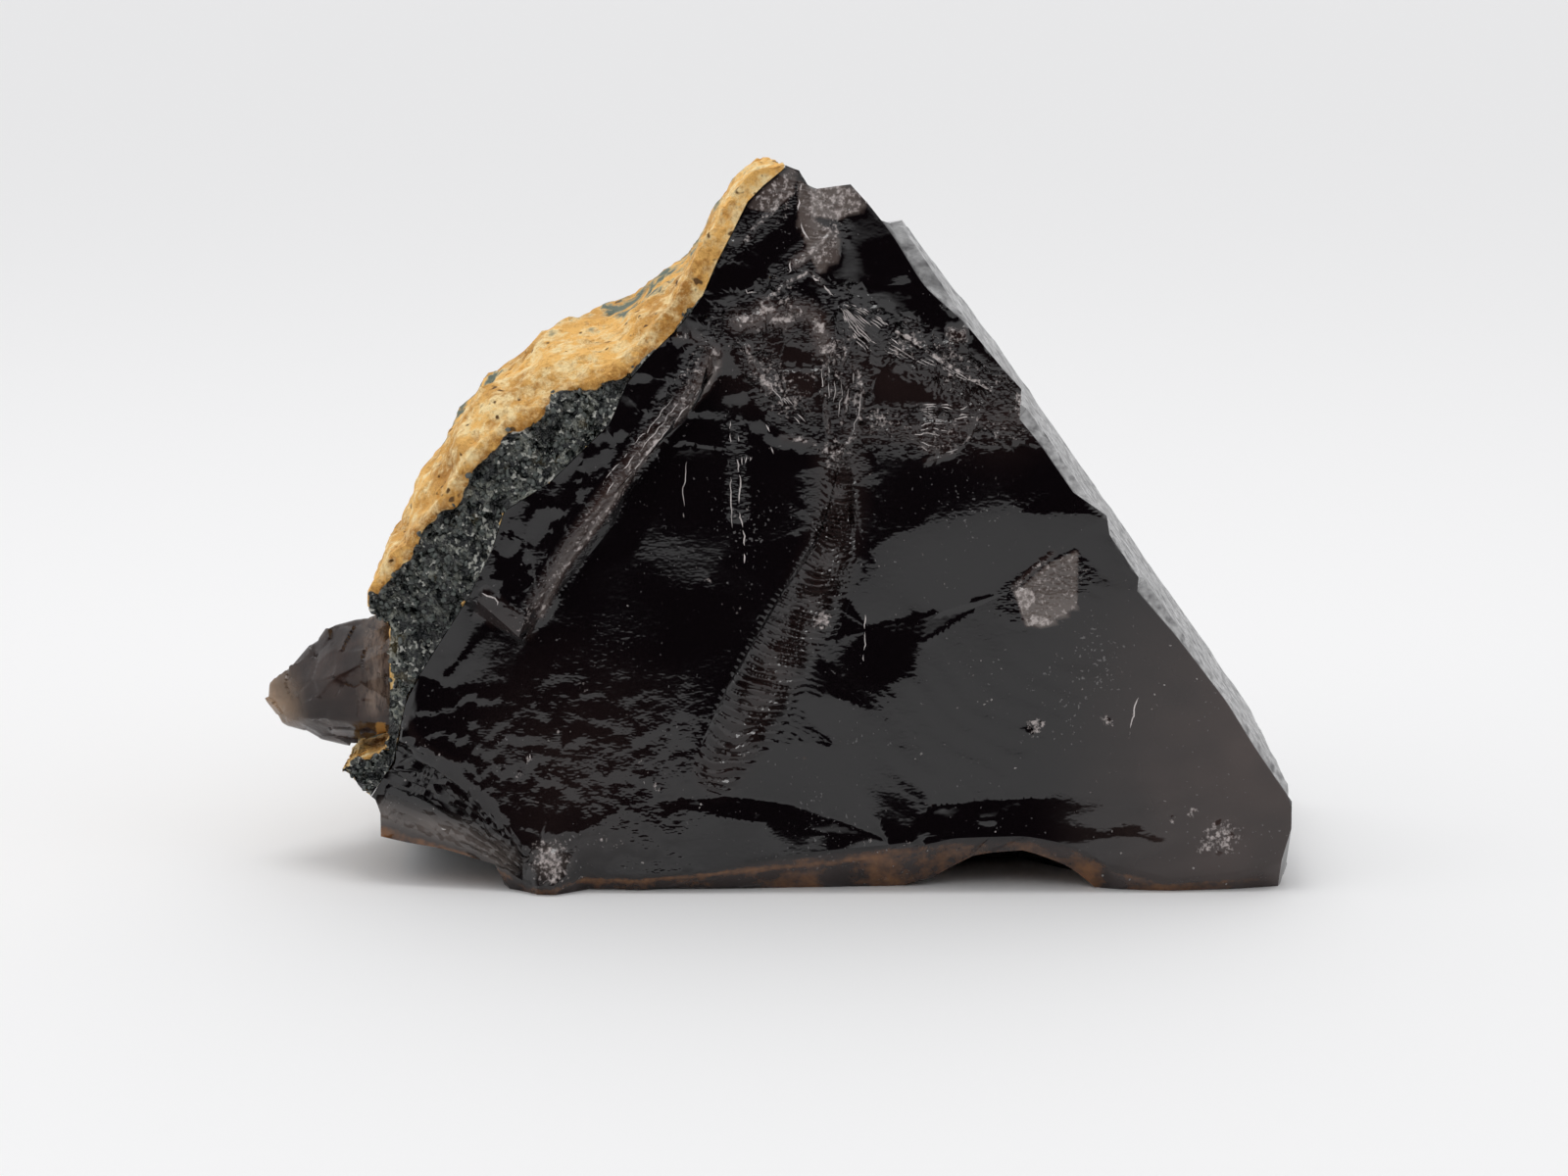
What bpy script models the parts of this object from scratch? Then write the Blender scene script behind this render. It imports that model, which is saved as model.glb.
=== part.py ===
"""A broken morion quartz crystal with its weathered matrix crust and a small smoky side crystal.

Every length below is in millimetres. X runs to the right across the broken front face, Z is up,
and depth (Y) runs from the front face into the stone. The finished specimen is set on Z = 0.
"""

import math

import bmesh
import bpy
from mathutils import Matrix, Vector, noise
from mathutils.geometry import delaunay_2d_cdt

MM = 0.001

# Driving dimensions
FULL_DEPTH = 60.0
SEAM_GAP = 0.4
SIDE_CRYSTAL_GAP = 0.35
RELAX_ROUNDS = 12
RELAX_SHARE = 0.5

# The natural prism faces turn by 60 degrees about the long axis of the crystal
LONG_AXIS = Vector((0.577, 0.0, -0.816))
RIGHT_FACE_NORMAL = Vector((0.816, -0.023, 0.577)).normalized()
RIGHT_FACE_POINT = Vector((30.5, 2.2, 34.0))
PRISM_TURN = math.radians(60.0)
RIGHT_FACE_END = Vector((27.0, 34.0, 41.0))
BACK_RIDGE = Vector((8.0, 49.0, 21.0))
TOP_BREAK_POINT = Vector((6.0, 13.0, 66.4))
TOP_BREAK_NORMAL = Vector((0.45, 0.35, 0.82)).normalized()

# The ladder of ribs down the middle of the broken face: x, z, depth and half the width of the ribs
LADDER_LINE = [
    (5.3, 36.4, 4.7, 0.8), (4.4, 32.0, 3.9, 1.3), (2.0, 27.4, 3.1, 2.1), (-1.0, 21.9, 2.1, 2.4),
    (-3.8, 16.4, 1.5, 2.3), (-5.6, 12.4, 1.1, 1.8),
]
RIB_PITCH = 1.9
RIB_HEIGHT = 0.3
RIB_SAG = 0.5
RIB_LEAN = -0.12

# The outline of the broken face, clockwise from the peak: x, z and depth of each corner
PEAK = [
    (-0.2, 67.8, 9.0), (1.4, 67.2, 8.6), (2.2, 65.8, 9.4), (3.1, 65.4, 10.0), (6.2, 65.8, 10.0),
    (7.9, 64.0, 9.2),
]
RIGHT_EDGE = [
    (10.2, 61.1, 8.0), (13.0, 56.5, 6.8), (16.7, 53.4, 5.9), (20.3, 49.1, 4.9), (22.0, 47.3, 4.5),
    (21.8, 44.6, 3.9), (23.8, 42.2, 3.5), (26.8, 37.9, 2.8), (29.9, 35.8, 2.2), (30.2, 34.0, 2.2),
    (32.9, 30.1, 1.6), (32.8, 28.8, 1.5), (36.4, 24.7, 1.2), (41.3, 18.4, 0.8), (43.9, 14.2, 0.6),
    (46.8, 10.0, 0.5),
]
FOOT_EDGE = [
    (47.6, 8.9, 0.6), (47.7, 6.2, 1.0), (46.9, 3.0, 1.2), (42.8, 1.9, 0.8), (36.0, 1.2, 0.6),
    (31.0, 2.5, 0.5), (27.2, 4.7, 0.4), (22.8, 5.6, 0.4), (15.9, 5.4, 0.4), (10.0, 3.9, 0.6),
    (5.5, 2.2, 1.4), (-0.4, 0.9, 1.8), (-4.2, 0.3, 2.0), (-11.6, 0.2, 2.0), (-15.1, 0.2, 1.8),
    (-18.5, 1.1, 1.2), (-19.8, 1.3, 0.2), (-21.5, 1.1, -0.8), (-23.2, 1.0, -0.6), (-24.6, 1.3, 0.4),
]
LEFT_FOOT_EDGE = [
    (-27.3, 2.6, 1.2), (-32.0, 3.9, 2.0), (-35.9, 4.4, 2.6), (-38.2, 4.8, 3.2), (-38.2, 7.0, 3.4),
]
NICHE_EDGE = [
    (-38.7, 8.3, 3.6), (-40.6, 9.9, 4.2), (-42.0, 10.9, 4.6), (-41.0, 11.7, 4.8), (-37.5, 12.8, 4.6),
    (-37.1, 18.4, 4.2), (-37.1, 24.8, 4.4), (-39.1, 26.7, 5.0),
]
CRUST_EDGE = [
    (-38.9, 28.0, 5.0), (-37.8, 29.8, 4.5), (-36.7, 32.0, 3.8), (-35.0, 32.8, 3.4), (-32.7, 36.2, 3.0),
    (-30.1, 39.7, 3.0), (-28.9, 41.5, 3.2), (-25.8, 44.7, 3.3), (-23.0, 45.6, 3.5), (-19.9, 47.4, 3.9),
    (-16.0, 48.5, 4.2), (-13.3, 51.9, 5.0), (-10.7, 54.1, 5.6), (-9.1, 56.7, 6.2), (-7.9, 59.7, 6.8),
    (-6.3, 62.7, 7.4), (-4.9, 65.1, 7.9), (-2.6, 67.2, 8.5),
]

# Where the black quartz ends against the rock, from above the peak down to the left foot: x and z
SEAM = [
    (1.2, 72.0), (0.2, 67.2), (-1.7, 65.7), (-3.2, 64.2), (-4.5, 61.6), (-6.0, 58.8), (-7.4, 55.6),
    (-8.6, 54.0), (-9.8, 52.6), (-12.5, 50.0), (-14.3, 47.8), (-16.0, 44.0), (-18.1, 42.0),
    (-21.6, 38.6), (-25.8, 36.0), (-26.9, 32.6), (-29.2, 27.9), (-32.3, 23.1), (-35.3, 18.3),
    (-36.3, 14.0), (-36.8, 11.7), (-38.9, 8.5),
]

# Ridges, ledges and grooves that cross the broken face: x, z and depth along each one
RIDGES = {
    "peak facet foot": [(-7.6, 54.0, 6.2), (-4.3, 55.0, 6.6), (0.0, 56.7, 7.0)],
    "peak facet side": [(2.2, 65.8, 9.4), (2.7, 62.5, 8.6), (2.5, 59.3, 7.8), (0.0, 56.7, 7.0)],
    "notch floor": [(6.2, 65.8, 10.0), (4.6, 63.4, 9.8), (6.2, 60.3, 8.4), (4.5, 55.9, 6.9)],
    "shoulder ledge": [(6.2, 60.3, 8.4), (9.1, 55.9, 7.2), (13.6, 54.0, 6.5), (16.7, 53.4, 5.9)],
    "hackle spine": [
        (0.0, 56.7, 7.0), (4.5, 55.9, 6.9), (9.1, 53.1, 6.4), (13.9, 50.1, 5.5), (18.9, 47.3, 4.7),
        (22.0, 47.3, 4.5),
    ],
    "bowl brow": [
        (-6.7, 51.3, 5.8), (-3.2, 52.9, 6.7), (0.0, 54.1, 6.8), (3.1, 53.1, 6.8), (5.3, 51.2, 6.8),
        (5.7, 46.9, 6.0), (5.7, 42.3, 5.2), (5.1, 40.2, 5.0),
    ],
    "blade crest": [
        (-7.6, 54.0, 6.2), (-6.7, 51.3, 5.8), (-7.7, 47.5, 4.6), (-12.0, 42.1, 3.4), (-15.7, 37.9, 2.8),
        (-20.2, 33.6, 2.3), (-23.6, 27.5, 1.8), (-24.7, 24.4, 1.6), (-26.9, 26.4, 2.0), (-28.8, 28.0, 2.4),
    ],
    "blade foot": [
        (-6.7, 51.3, 5.8), (-6.6, 48.5, 6.5), (-9.2, 44.1, 5.8), (-13.3, 40.4, 5.2), (-16.0, 34.4, 4.6),
        (-19.5, 30.1, 4.2), (-22.9, 25.9, 3.6), (-24.3, 23.2, 3.3), (-27.3, 25.2, 3.5), (-29.7, 27.0, 3.7),
    ],
    "ladder left": [
        (5.1, 40.2, 5.0), (3.5, 34.1, 4.6), (0.0, 28.7, 3.7), (-2.7, 24.2, 2.9), (-5.3, 19.6, 2.2),
        (-7.8, 14.2, 1.4), (-8.7, 10.9, 1.1),
    ],
    "ladder right": [
        (5.1, 40.2, 5.0), (6.6, 38.6, 4.9), (7.5, 32.3, 4.0), (7.7, 25.0, 3.4), (7.5, 18.0, 1.9),
    ],
    "tongue top": [(7.5, 32.3, 4.0), (12.8, 34.6, 3.5), (21.9, 36.1, 2.8), (29.9, 35.8, 2.2)],
    "tongue foot": [(7.7, 25.0, 3.4), (13.7, 26.2, 3.2), (18.3, 27.7, 3.0), (21.5, 28.7, 2.7)],
    "wedge sill": [
        (7.5, 18.0, 1.9), (9.6, 20.1, 2.1), (13.3, 24.1, 2.4), (17.4, 26.8, 2.6), (21.5, 28.7, 2.7),
        (23.5, 31.8, 2.7), (30.2, 34.0, 2.2),
    ],
    "comb ledge": [(5.7, 42.3, 5.2), (11.9, 41.2, 4.6), (18.2, 43.3, 4.1), (21.8, 44.6, 3.9)],
    "left step top": [
        (-10.1, 8.8, 1.1), (-5.1, 9.2, 1.1), (0.0, 8.5, 1.2), (4.6, 6.9, 1.1), (8.5, 5.5, 0.8),
    ],
    "left step foot": [
        (-10.1, 8.8, 1.1), (-7.4, 7.8, 0.5), (-2.3, 7.0, 0.5), (2.8, 5.9, 0.5), (8.5, 5.5, 0.8),
    ],
    "right step top": [
        (14.3, 8.1, 1.3), (18.4, 8.7, 1.3), (23.9, 8.9, 1.3), (29.5, 8.3, 1.3), (33.6, 6.9, 1.1),
        (36.1, 4.8, 0.8),
    ],
    "right step foot": [
        (14.3, 8.1, 1.3), (19.3, 7.0, 0.6), (25.3, 6.6, 0.6), (30.4, 5.7, 0.6), (36.1, 4.8, 0.8),
    ],
    "foot rim": [
        (-18.4, 2.2, 0.5), (-13.8, 1.9, 0.3), (-7.4, 2.3, 0.3), (-0.9, 3.6, 0.3), (4.6, 4.3, 0.3),
        (9.9, 4.8, 0.3),
    ],
    "fan upper rib": [(-23.9, 3.9, 0.2), (-27.6, 8.9, 1.3), (-32.3, 12.7, 2.1), (-36.0, 14.4, 2.9)],
    "fan groove": [(-24.6, 2.5, 0.9), (-29.6, 6.1, 2.4), (-34.3, 8.4, 3.2), (-37.2, 9.5, 3.7)],
    "fan lower rib": [(-25.1, 1.9, 0.9), (-30.5, 5.0, 1.6), (-35.2, 6.3, 2.5), (-38.2, 7.0, 3.4)],
    "bruise rim": [
        (-23.9, 3.9, 0.2), (-22.6, 4.8, 0.2), (-21.0, 4.7, 0.1), (-19.8, 3.7, 0.1), (-19.4, 2.4, 0.3),
    ],
}

# Single high and low spots between the ridges
SPOTS = {
    "bruise": [(-22.0, 3.4, -1.6)],
    "trough under the peak": [(-1.8, 55.0, 7.0)],
    "blade": [(-10.0, 48.4, 4.5), (-13.1, 44.9, 3.7), (-18.2, 39.0, 3.0), (-23.2, 32.7, 2.5)],
    "rock": [
        (-29.1, 34.4, 2.8), (-21.8, 43.5, 3.4), (-14.5, 49.4, 4.6), (-33.0, 26.9, 3.4), (-35.0, 21.2, 3.6),
    ],
    "bowl": [
        (-2.7, 48.5, 6.3), (-9.2, 40.4, 5.5), (-1.8, 39.4, 5.3), (-14.7, 31.3, 4.2), (-5.5, 31.3, 4.2),
        (-18.4, 24.1, 3.1), (-9.2, 23.2, 2.8), (-25.7, 19.5, 2.5), (-32.2, 19.4, 2.8), (-16.5, 16.0, 1.8),
        (-25.8, 12.2, 1.5), (-11.0, 13.2, 1.3), (-16.6, 7.7, 0.7), (-22.1, 7.6, 0.9), (-10.1, 4.9, 0.5),
    ],
    "plain": [
        (13.8, 19.6, 2.2), (13.8, 13.1, 1.8), (22.9, 21.5, 2.1), (23.9, 14.1, 1.6), (32.0, 23.5, 1.7),
        (34.9, 13.3, 1.1), (41.3, 9.6, 0.7), (4.6, 14.2, 1.5), (7.4, 9.1, 1.2),
    ],
}

# Each ring of the flanks: how far behind the front edge it lies, and its share of the crust's swell
FLANK_RINGS = [
    (2.5, 0.45), (5.5, 0.75), (9.0, 0.9), (13.0, 1.0), (17.0, 1.05), (21.5, 1.0), (26.5, 0.85),
    (32.0, 0.65), (38.0, 0.35), (44.0, 0.0),
]
CRUST_SWELL = [0.4, 0.8, 1.2, 1.6, 2.6, 3.4, 3.8, 4.4, 4.6, 4.4, 4.2, 3.2, 2.2, 1.2, 0.4, 0.3, 0.3, 0.3]
CRUST_LUMPS = [(9.0, 0.9), (4.2, 0.5)]
FULL_LUMP_SWELL = 3.5
CRUST_FALL = 0.25
CRUST_FALL_FROM = 16.0
ROCK_FRONT_ROUGHNESS = 0.45
SPECIMEN_CORE = Vector((0.0, 25.0))
TOP_FALL = 0.10
FOOT_DROP = 5.0
FOOT_RUN = 3.0
LEFT_FOOT_DROP = 5.4
LEFT_FOOT_RUN = 36.0

# Shell-shaped bites that broke away from the hidden sides: centre, radii and turn about X in degrees
BACK_BITES = {
    "lower_back_bite": ((26.0, 52.0, 6.0), (26.0, 10.0, 17.0), 20.0),
    "upper_back_bite": ((0.0, 58.0, 66.0), (24.0, 17.0, 13.0), -25.0),
    "left_back_bite": ((-28.0, 44.0, 10.0), (17.0, 10.0, 15.0), 10.0),
    "underside_dish": ((4.0, 24.0, -48.0), (29.0, 13.0, 49.4), 0.0),
    "underside_arch": ((21.5, 4.0, -25.5), (16.0, 14.0, 30.2), 0.0),
}

# The side crystal points left from its niche in the rock: outline, front facets and back facets
SIDE_OUTLINE_DEPTH = 11.0
SIDE_OUTLINE = [
    (-36.5, 24.3), (-38.6, 24.8), (-41.4, 24.2), (-43.6, 23.5), (-47.0, 20.3), (-49.8, 17.8),
    (-50.1, 16.4), (-48.6, 13.9), (-44.9, 12.4), (-42.2, 11.9), (-36.5, 13.6),
]
SIDE_FRONT = [(-36.5, 5.4, 22.8), (-36.5, 4.8, 15.2), (-43.0, 6.0, 19.5), (-45.4, 7.2, 15.4)]
SIDE_BACK = [(-36.5, 20.0, 22.4), (-36.5, 20.0, 14.4), (-43.8, 18.0, 20.5), (-43.6, 17.6, 15.0)]
SIDE_CRYSTAL_ROOT = -37.1

MATERIALS = {
    "morion_quartz": ((0.012, 0.008, 0.009, 1.0), 0.08),
    "weathered_rock": ((0.42, 0.25, 0.07, 1.0), 0.9),
    "smoky_quartz": ((0.10, 0.06, 0.04, 1.0), 0.25),
}


def clear_scene():
    for obj in list(bpy.data.objects):
        bpy.data.objects.remove(obj)


def finish_of(name):
    """A Principled material with the part's own colour and roughness."""
    colour, roughness = MATERIALS[name]
    material = bpy.data.materials.new(name)
    material.use_nodes = True
    shader = material.node_tree.nodes["Principled BSDF"]
    shader.inputs["Base Color"].default_value = colour
    shader.inputs["Roughness"].default_value = roughness
    shader.inputs["Metallic"].default_value = 0.0
    return material


def object_of(name, bm):
    """Closes a bmesh into a named object, with its faces pointing out and its size in metres."""
    bmesh.ops.recalc_face_normals(bm, faces=bm.faces)
    bmesh.ops.scale(bm, vec=(MM, MM, MM), verts=bm.verts)
    mesh = bpy.data.meshes.new(name)
    bm.to_mesh(mesh)
    bm.free()
    obj = bpy.data.objects.new(name, mesh)
    bpy.context.scene.collection.objects.link(obj)
    return obj


def hide_cutter(obj):
    obj.hide_render = True
    obj.display_type = "WIRE"
    return obj


def boolean(obj, cutter, operation):
    modifier = obj.modifiers.new(cutter.name, "BOOLEAN")
    modifier.operation = operation
    modifier.object = cutter
    modifier.solver = "EXACT"


def outline_stations():
    """Every corner of the broken face's outline, with the zone that says how its flank runs back."""
    zones = [
        ("peak", PEAK), ("right", RIGHT_EDGE), ("foot", FOOT_EDGE), ("left foot", LEFT_FOOT_EDGE),
        ("niche", NICHE_EDGE), ("crust", CRUST_EDGE),
    ]
    return [(corner, zone, i) for zone, corners in zones for i, corner in enumerate(corners)]


def ladder_ribs():
    """Crests and troughs by turns across the ladder, each sagging at its middle."""
    stations = [Vector(station) for station in LADDER_LINE]
    length = sum((b.xy - a.xy).length for a, b in zip(stations, stations[1:]))
    ribs = []
    for step in range(int(2 * length / RIB_PITCH)):
        left = step * RIB_PITCH / 2
        for start, end in zip(stations, stations[1:]):
            run = (end.xy - start.xy).length
            if left <= run:
                break
            left -= run
        middle = start.lerp(end, left / run)
        across = Vector((1.0, RIB_LEAN))
        push = RIB_HEIGHT if step % 2 else -RIB_HEIGHT
        rib = []
        for share in (-1.0, -0.5, 0.0, 0.5, 1.0):
            place = middle.xy + across * middle.w * share
            rise = RIB_SAG * share ** 2
            rib.append((place.x, place.y + rise, middle.z + push * (1.0 - share ** 2)))
        ribs.append(rib)
    return ribs


def broken_face():
    """The front face: flat facets stretched between the outline and the ridges."""
    places, depths, edges = [], [], []

    def corner_index(corner):
        place = corner[:2]
        if place not in places:
            places.append(place)
            depths.append(corner[2])
        return places.index(place)

    outline = [corner_index(corner) for corner, _, _ in outline_stations()]
    for line in [*RIDGES.values(), *ladder_ribs()]:
        along = [corner_index(corner) for corner in line]
        edges += zip(along, along[1:])
    for spots in SPOTS.values():
        for spot in spots:
            corner_index(spot)
    flat, _, faces, origins, _, _ = delaunay_2d_cdt(
        [Vector(place) for place in places], edges, [outline], 1, 1e-4
    )
    if any(not origin for origin in origins):
        raise ValueError("two ridges cross where they share no corner")
    bm = bmesh.new()
    ridge = bm.edges.layers.int.new("ridge")
    verts = [
        bm.verts.new((place.x, depths[origin[0]], place.y)) for place, origin in zip(flat, origins)
    ]
    for face in faces:
        bm.faces.new([verts[i] for i in face])
    vert_of = {origin[0]: verts[i] for i, origin in enumerate(origins)}
    for a, b in edges:
        bm.edges.get((vert_of[a], vert_of[b]))[ridge] = 1
    return bm


def in_quartz(x, z):
    """Whether a place on the broken face lies on the black quartz's side of the seam."""
    outline = quartz_outline()
    crossings = 0
    for (xa, za), (xb, zb) in zip(outline, outline[1:] + outline[:1]):
        if (za > z) != (zb > z) and x < xa + (z - za) / (zb - za) * (xb - xa):
            crossings += 1
    return crossings % 2 == 1


def relaxed_face():
    """The broken face, its facets bowed between crisp ridges and its rock left lumpy."""
    bm = broken_face()
    ridge = bm.edges.layers.int["ridge"]
    bmesh.ops.subdivide_edges(bm, edges=bm.edges, cuts=1, use_grid_fill=True)
    bmesh.ops.triangulate(bm, faces=bm.faces)
    crisp = {vert for edge in bm.edges if edge[ridge] or edge.is_boundary for vert in edge.verts}
    loose = [vert for vert in bm.verts if vert not in crisp]
    for _ in range(RELAX_ROUNDS):
        bmesh.ops.smooth_vert(bm, verts=loose, factor=RELAX_SHARE, use_axis_y=True)
    for vert in bm.verts:
        if not in_quartz(vert.co.x, vert.co.z):
            vert.co.y += lumps(vert.co) * ROCK_FRONT_ROUGHNESS
    return bm


def zone_at(x, z):
    """The zone and the crust's swell at a place on the outline, blended between its two stations."""
    stations = outline_stations()
    best = None
    for (a, zone_a, i_a), (b, zone_b, i_b) in zip(stations, stations[1:] + stations[:1]):
        start, end, here = Vector(a[:2]), Vector(b[:2]), Vector((x, z))
        run = end - start
        share = min(max((here - start).dot(run) / run.length_squared, 0.0), 1.0)
        away = (start + run * share - here).length
        if best is None or away < best[0] - 1e-6:
            swell_a = CRUST_SWELL[i_a] if zone_a == "crust" else 0.0
            swell_b = CRUST_SWELL[i_b] if zone_b == "crust" else 0.0
            zone = zone_a if share < 0.999 else zone_b
            best = (away, zone, swell_a + (swell_b - swell_a) * share)
    return best[1], best[2]


def lumps(place):
    """The uneven swelling of the weathered crust, broad lumps with smaller ones on them."""
    return sum(height * noise.noise(place / size) for size, height in CRUST_LUMPS) * 2.0


def flank_point(front, behind, share):
    """Where the flank has got to at a given distance behind a point of the front edge."""
    x, z = front.x, front.z
    depth = front.y + behind
    zone, swell = zone_at(x, z)
    if zone == "right":
        place = Vector((x, depth, z))
        return place - RIGHT_FACE_NORMAL * (place - RIGHT_FACE_POINT).dot(RIGHT_FACE_NORMAL)
    if zone == "foot":
        return Vector((x, depth, z - FOOT_DROP * min(1.0, behind / FOOT_RUN)))
    if zone == "left foot":
        return Vector((x, depth, z - LEFT_FOOT_DROP * min(1.0, behind / LEFT_FOOT_RUN)))
    if zone == "crust":
        away = (Vector((x, z)) - SPECIMEN_CORE).normalized()
        push = away * swell * share
        fall = CRUST_FALL * max(0.0, behind - CRUST_FALL_FROM)
        place = Vector((x + push.x, depth, z + push.y - fall))
        lump = lumps(place) * min(1.0, swell / FULL_LUMP_SWELL)
        return place + Vector((away.x * lump, 0.0, away.y * lump))
    if zone == "peak":
        return Vector((x, depth, z - TOP_FALL * behind))
    return Vector((x, depth, z))


def cut_flat(bm, point, normal):
    """Cuts everything beyond a plane away and closes the cut with one flat face."""
    geometry = bm.verts[:] + bm.edges[:] + bm.faces[:]
    cut = bmesh.ops.bisect_plane(
        bm, geom=geometry, plane_co=point, plane_no=normal, clear_outer=True, dist=1e-4
    )
    loop = [item for item in cut["geom_cut"] if isinstance(item, bmesh.types.BMEdge)]
    bmesh.ops.triangle_fill(bm, edges=loop, use_beauty=True)


def whole_specimen(name):
    """Black quartz and rock as one closed block, before the seam parts them."""
    bm = relaxed_face()
    front = {}
    edges = [edge for edge in bm.edges if edge.is_boundary]
    for edge in edges:
        for vert in edge.verts:
            front[vert] = vert.co.copy()
    for behind, share in [*FLANK_RINGS, (FULL_DEPTH, 0.0)]:
        source = {tuple(vert.co): front[vert] for edge in edges for vert in edge.verts}
        made = bmesh.ops.extrude_edge_only(bm, edges=edges)["geom"]
        edges = [item for item in made if isinstance(item, bmesh.types.BMEdge)]
        for vert in [item for item in made if isinstance(item, bmesh.types.BMVert)]:
            start = source[tuple(vert.co)]
            front[vert] = start
            vert.co = flank_point(start, behind, share)
    bmesh.ops.triangle_fill(bm, edges=edges, use_beauty=True)
    second_normal = Matrix.Rotation(-PRISM_TURN, 3, LONG_AXIS) @ RIGHT_FACE_NORMAL
    third_normal = Matrix.Rotation(-2 * PRISM_TURN, 3, LONG_AXIS) @ RIGHT_FACE_NORMAL
    cut_flat(bm, RIGHT_FACE_END, second_normal)
    cut_flat(bm, BACK_RIDGE, third_normal)
    cut_flat(bm, TOP_BREAK_POINT, TOP_BREAK_NORMAL)
    cut_flat(bm, Vector((0.0, 0.0, 0.0)), Vector((0.0, 0.0, -1.0)))
    return object_of(name, bm)


def quartz_outline():
    """A closed line round everything on the black quartz's side of the seam: x and z."""
    return [(1.2, 90.0), *SEAM, (-55.0, 3.0), (-55.0, -20.0), (70.0, -20.0), (70.0, 90.0)]


def quartz_side(name, shift):
    """A cutter that holds everything on the black quartz's side of the seam."""
    bm = bmesh.new()
    bottom = [bm.verts.new((x + shift[0], -20.0, z + shift[1])) for x, z in quartz_outline()]
    face = bm.faces.new(bottom)
    top = bmesh.ops.extrude_face_region(bm, geom=[face])["geom"]
    moved = [item for item in top if isinstance(item, bmesh.types.BMVert)]
    bmesh.ops.translate(bm, vec=(0.0, FULL_DEPTH + 50.0, 0.0), verts=moved)
    return hide_cutter(object_of(name, bm))


def bite(name, centre, radii, turn):
    """A shell-shaped cutter: a stretched ball that leaves a shallow, curved scar."""
    bm = bmesh.new()
    bmesh.ops.create_icosphere(bm, subdivisions=3, radius=1.0)
    placing = (
        Matrix.Translation(centre)
        @ Matrix.Rotation(math.radians(turn), 4, "X")
        @ Matrix.Diagonal((*radii, 1.0))
    )
    bmesh.ops.transform(bm, matrix=placing, verts=bm.verts)
    return hide_cutter(object_of(name, bm))


def morion_crystal(bites):
    crystal = whole_specimen("morion_crystal")
    boolean(crystal, quartz_side("quartz_side", (0.0, 0.0)), "INTERSECT")
    for cutter in bites:
        boolean(crystal, cutter, "DIFFERENCE")
    crystal.data.materials.append(finish_of("morion_quartz"))
    return crystal


def matrix_crust(bites):
    """The weathered rock: what the quartz leaves of the block, with a hair's gap along the seam."""
    crust = whole_specimen("matrix_crust")
    down_the_seam = Vector(SEAM[-1]) - Vector(SEAM[0])
    off_the_seam = Vector((down_the_seam.y, -down_the_seam.x)).normalized() * SEAM_GAP
    boolean(crust, quartz_side("grown_quartz_side", tuple(off_the_seam)), "DIFFERENCE")
    for cutter in bites:
        boolean(crust, cutter, "DIFFERENCE")
    crust.data.materials.append(finish_of("weathered_rock"))
    return crust


def side_crystal():
    """The small smoky crystal: flat facets round a blunt point, cut flat where it meets the rock."""
    bm = bmesh.new()
    for x, z in SIDE_OUTLINE:
        bm.verts.new((x, SIDE_OUTLINE_DEPTH, z))
    for corner in SIDE_FRONT + SIDE_BACK:
        bm.verts.new(corner)
    bmesh.ops.convex_hull(bm, input=bm.verts)
    loose = [vert for vert in bm.verts if not vert.link_faces]
    bmesh.ops.delete(bm, geom=loose, context="VERTS")
    root = Vector((SIDE_CRYSTAL_ROOT - SIDE_CRYSTAL_GAP, 0.0, 0.0))
    cut_flat(bm, root, Vector((1.0, 0.0, 0.0)))
    crystal = object_of("side_crystal", bm)
    crystal.data.materials.append(finish_of("smoky_quartz"))
    return crystal


def stand_on_origin(pieces):
    """Centres the specimen over the origin, through one empty that carries every piece."""
    graph = bpy.context.evaluated_depsgraph_get()
    corners = []
    for piece in pieces:
        mesh = piece.evaluated_get(graph).to_mesh()
        corners += [vert.co.copy() for vert in mesh.vertices]
        piece.evaluated_get(graph).to_mesh_clear()
    middle_x = (min(c.x for c in corners) + max(c.x for c in corners)) / 2
    middle_y = (min(c.y for c in corners) + max(c.y for c in corners)) / 2
    carrier = bpy.data.objects.new("specimen", None)
    bpy.context.scene.collection.objects.link(carrier)
    carrier.location = (-middle_x, -middle_y, 0.0)
    for obj in [item for item in bpy.data.objects if item.type == "MESH"]:
        obj.parent = carrier


def main():
    clear_scene()
    bites = [bite(name, *shape) for name, shape in BACK_BITES.items()]
    pieces = [morion_crystal(bites), matrix_crust(bites), side_crystal()]
    stand_on_origin(pieces)


main()
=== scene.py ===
"""Dresses a morion specimen: broken black quartz, its weathered rock crust and a small smoky crystal.

Places on the specimen are written in millimetres: x to the right across the broken face, depth
from that face into the stone, and z up. A line on the broken face is a list of x and z.
"""

import itertools
import math

import bmesh
import bpy
import numpy as np
from bpy.props import FloatProperty, FloatVectorProperty, IntProperty, PointerProperty
from mathutils import Matrix, Vector
from mathutils.bvhtree import BVHTree


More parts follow.
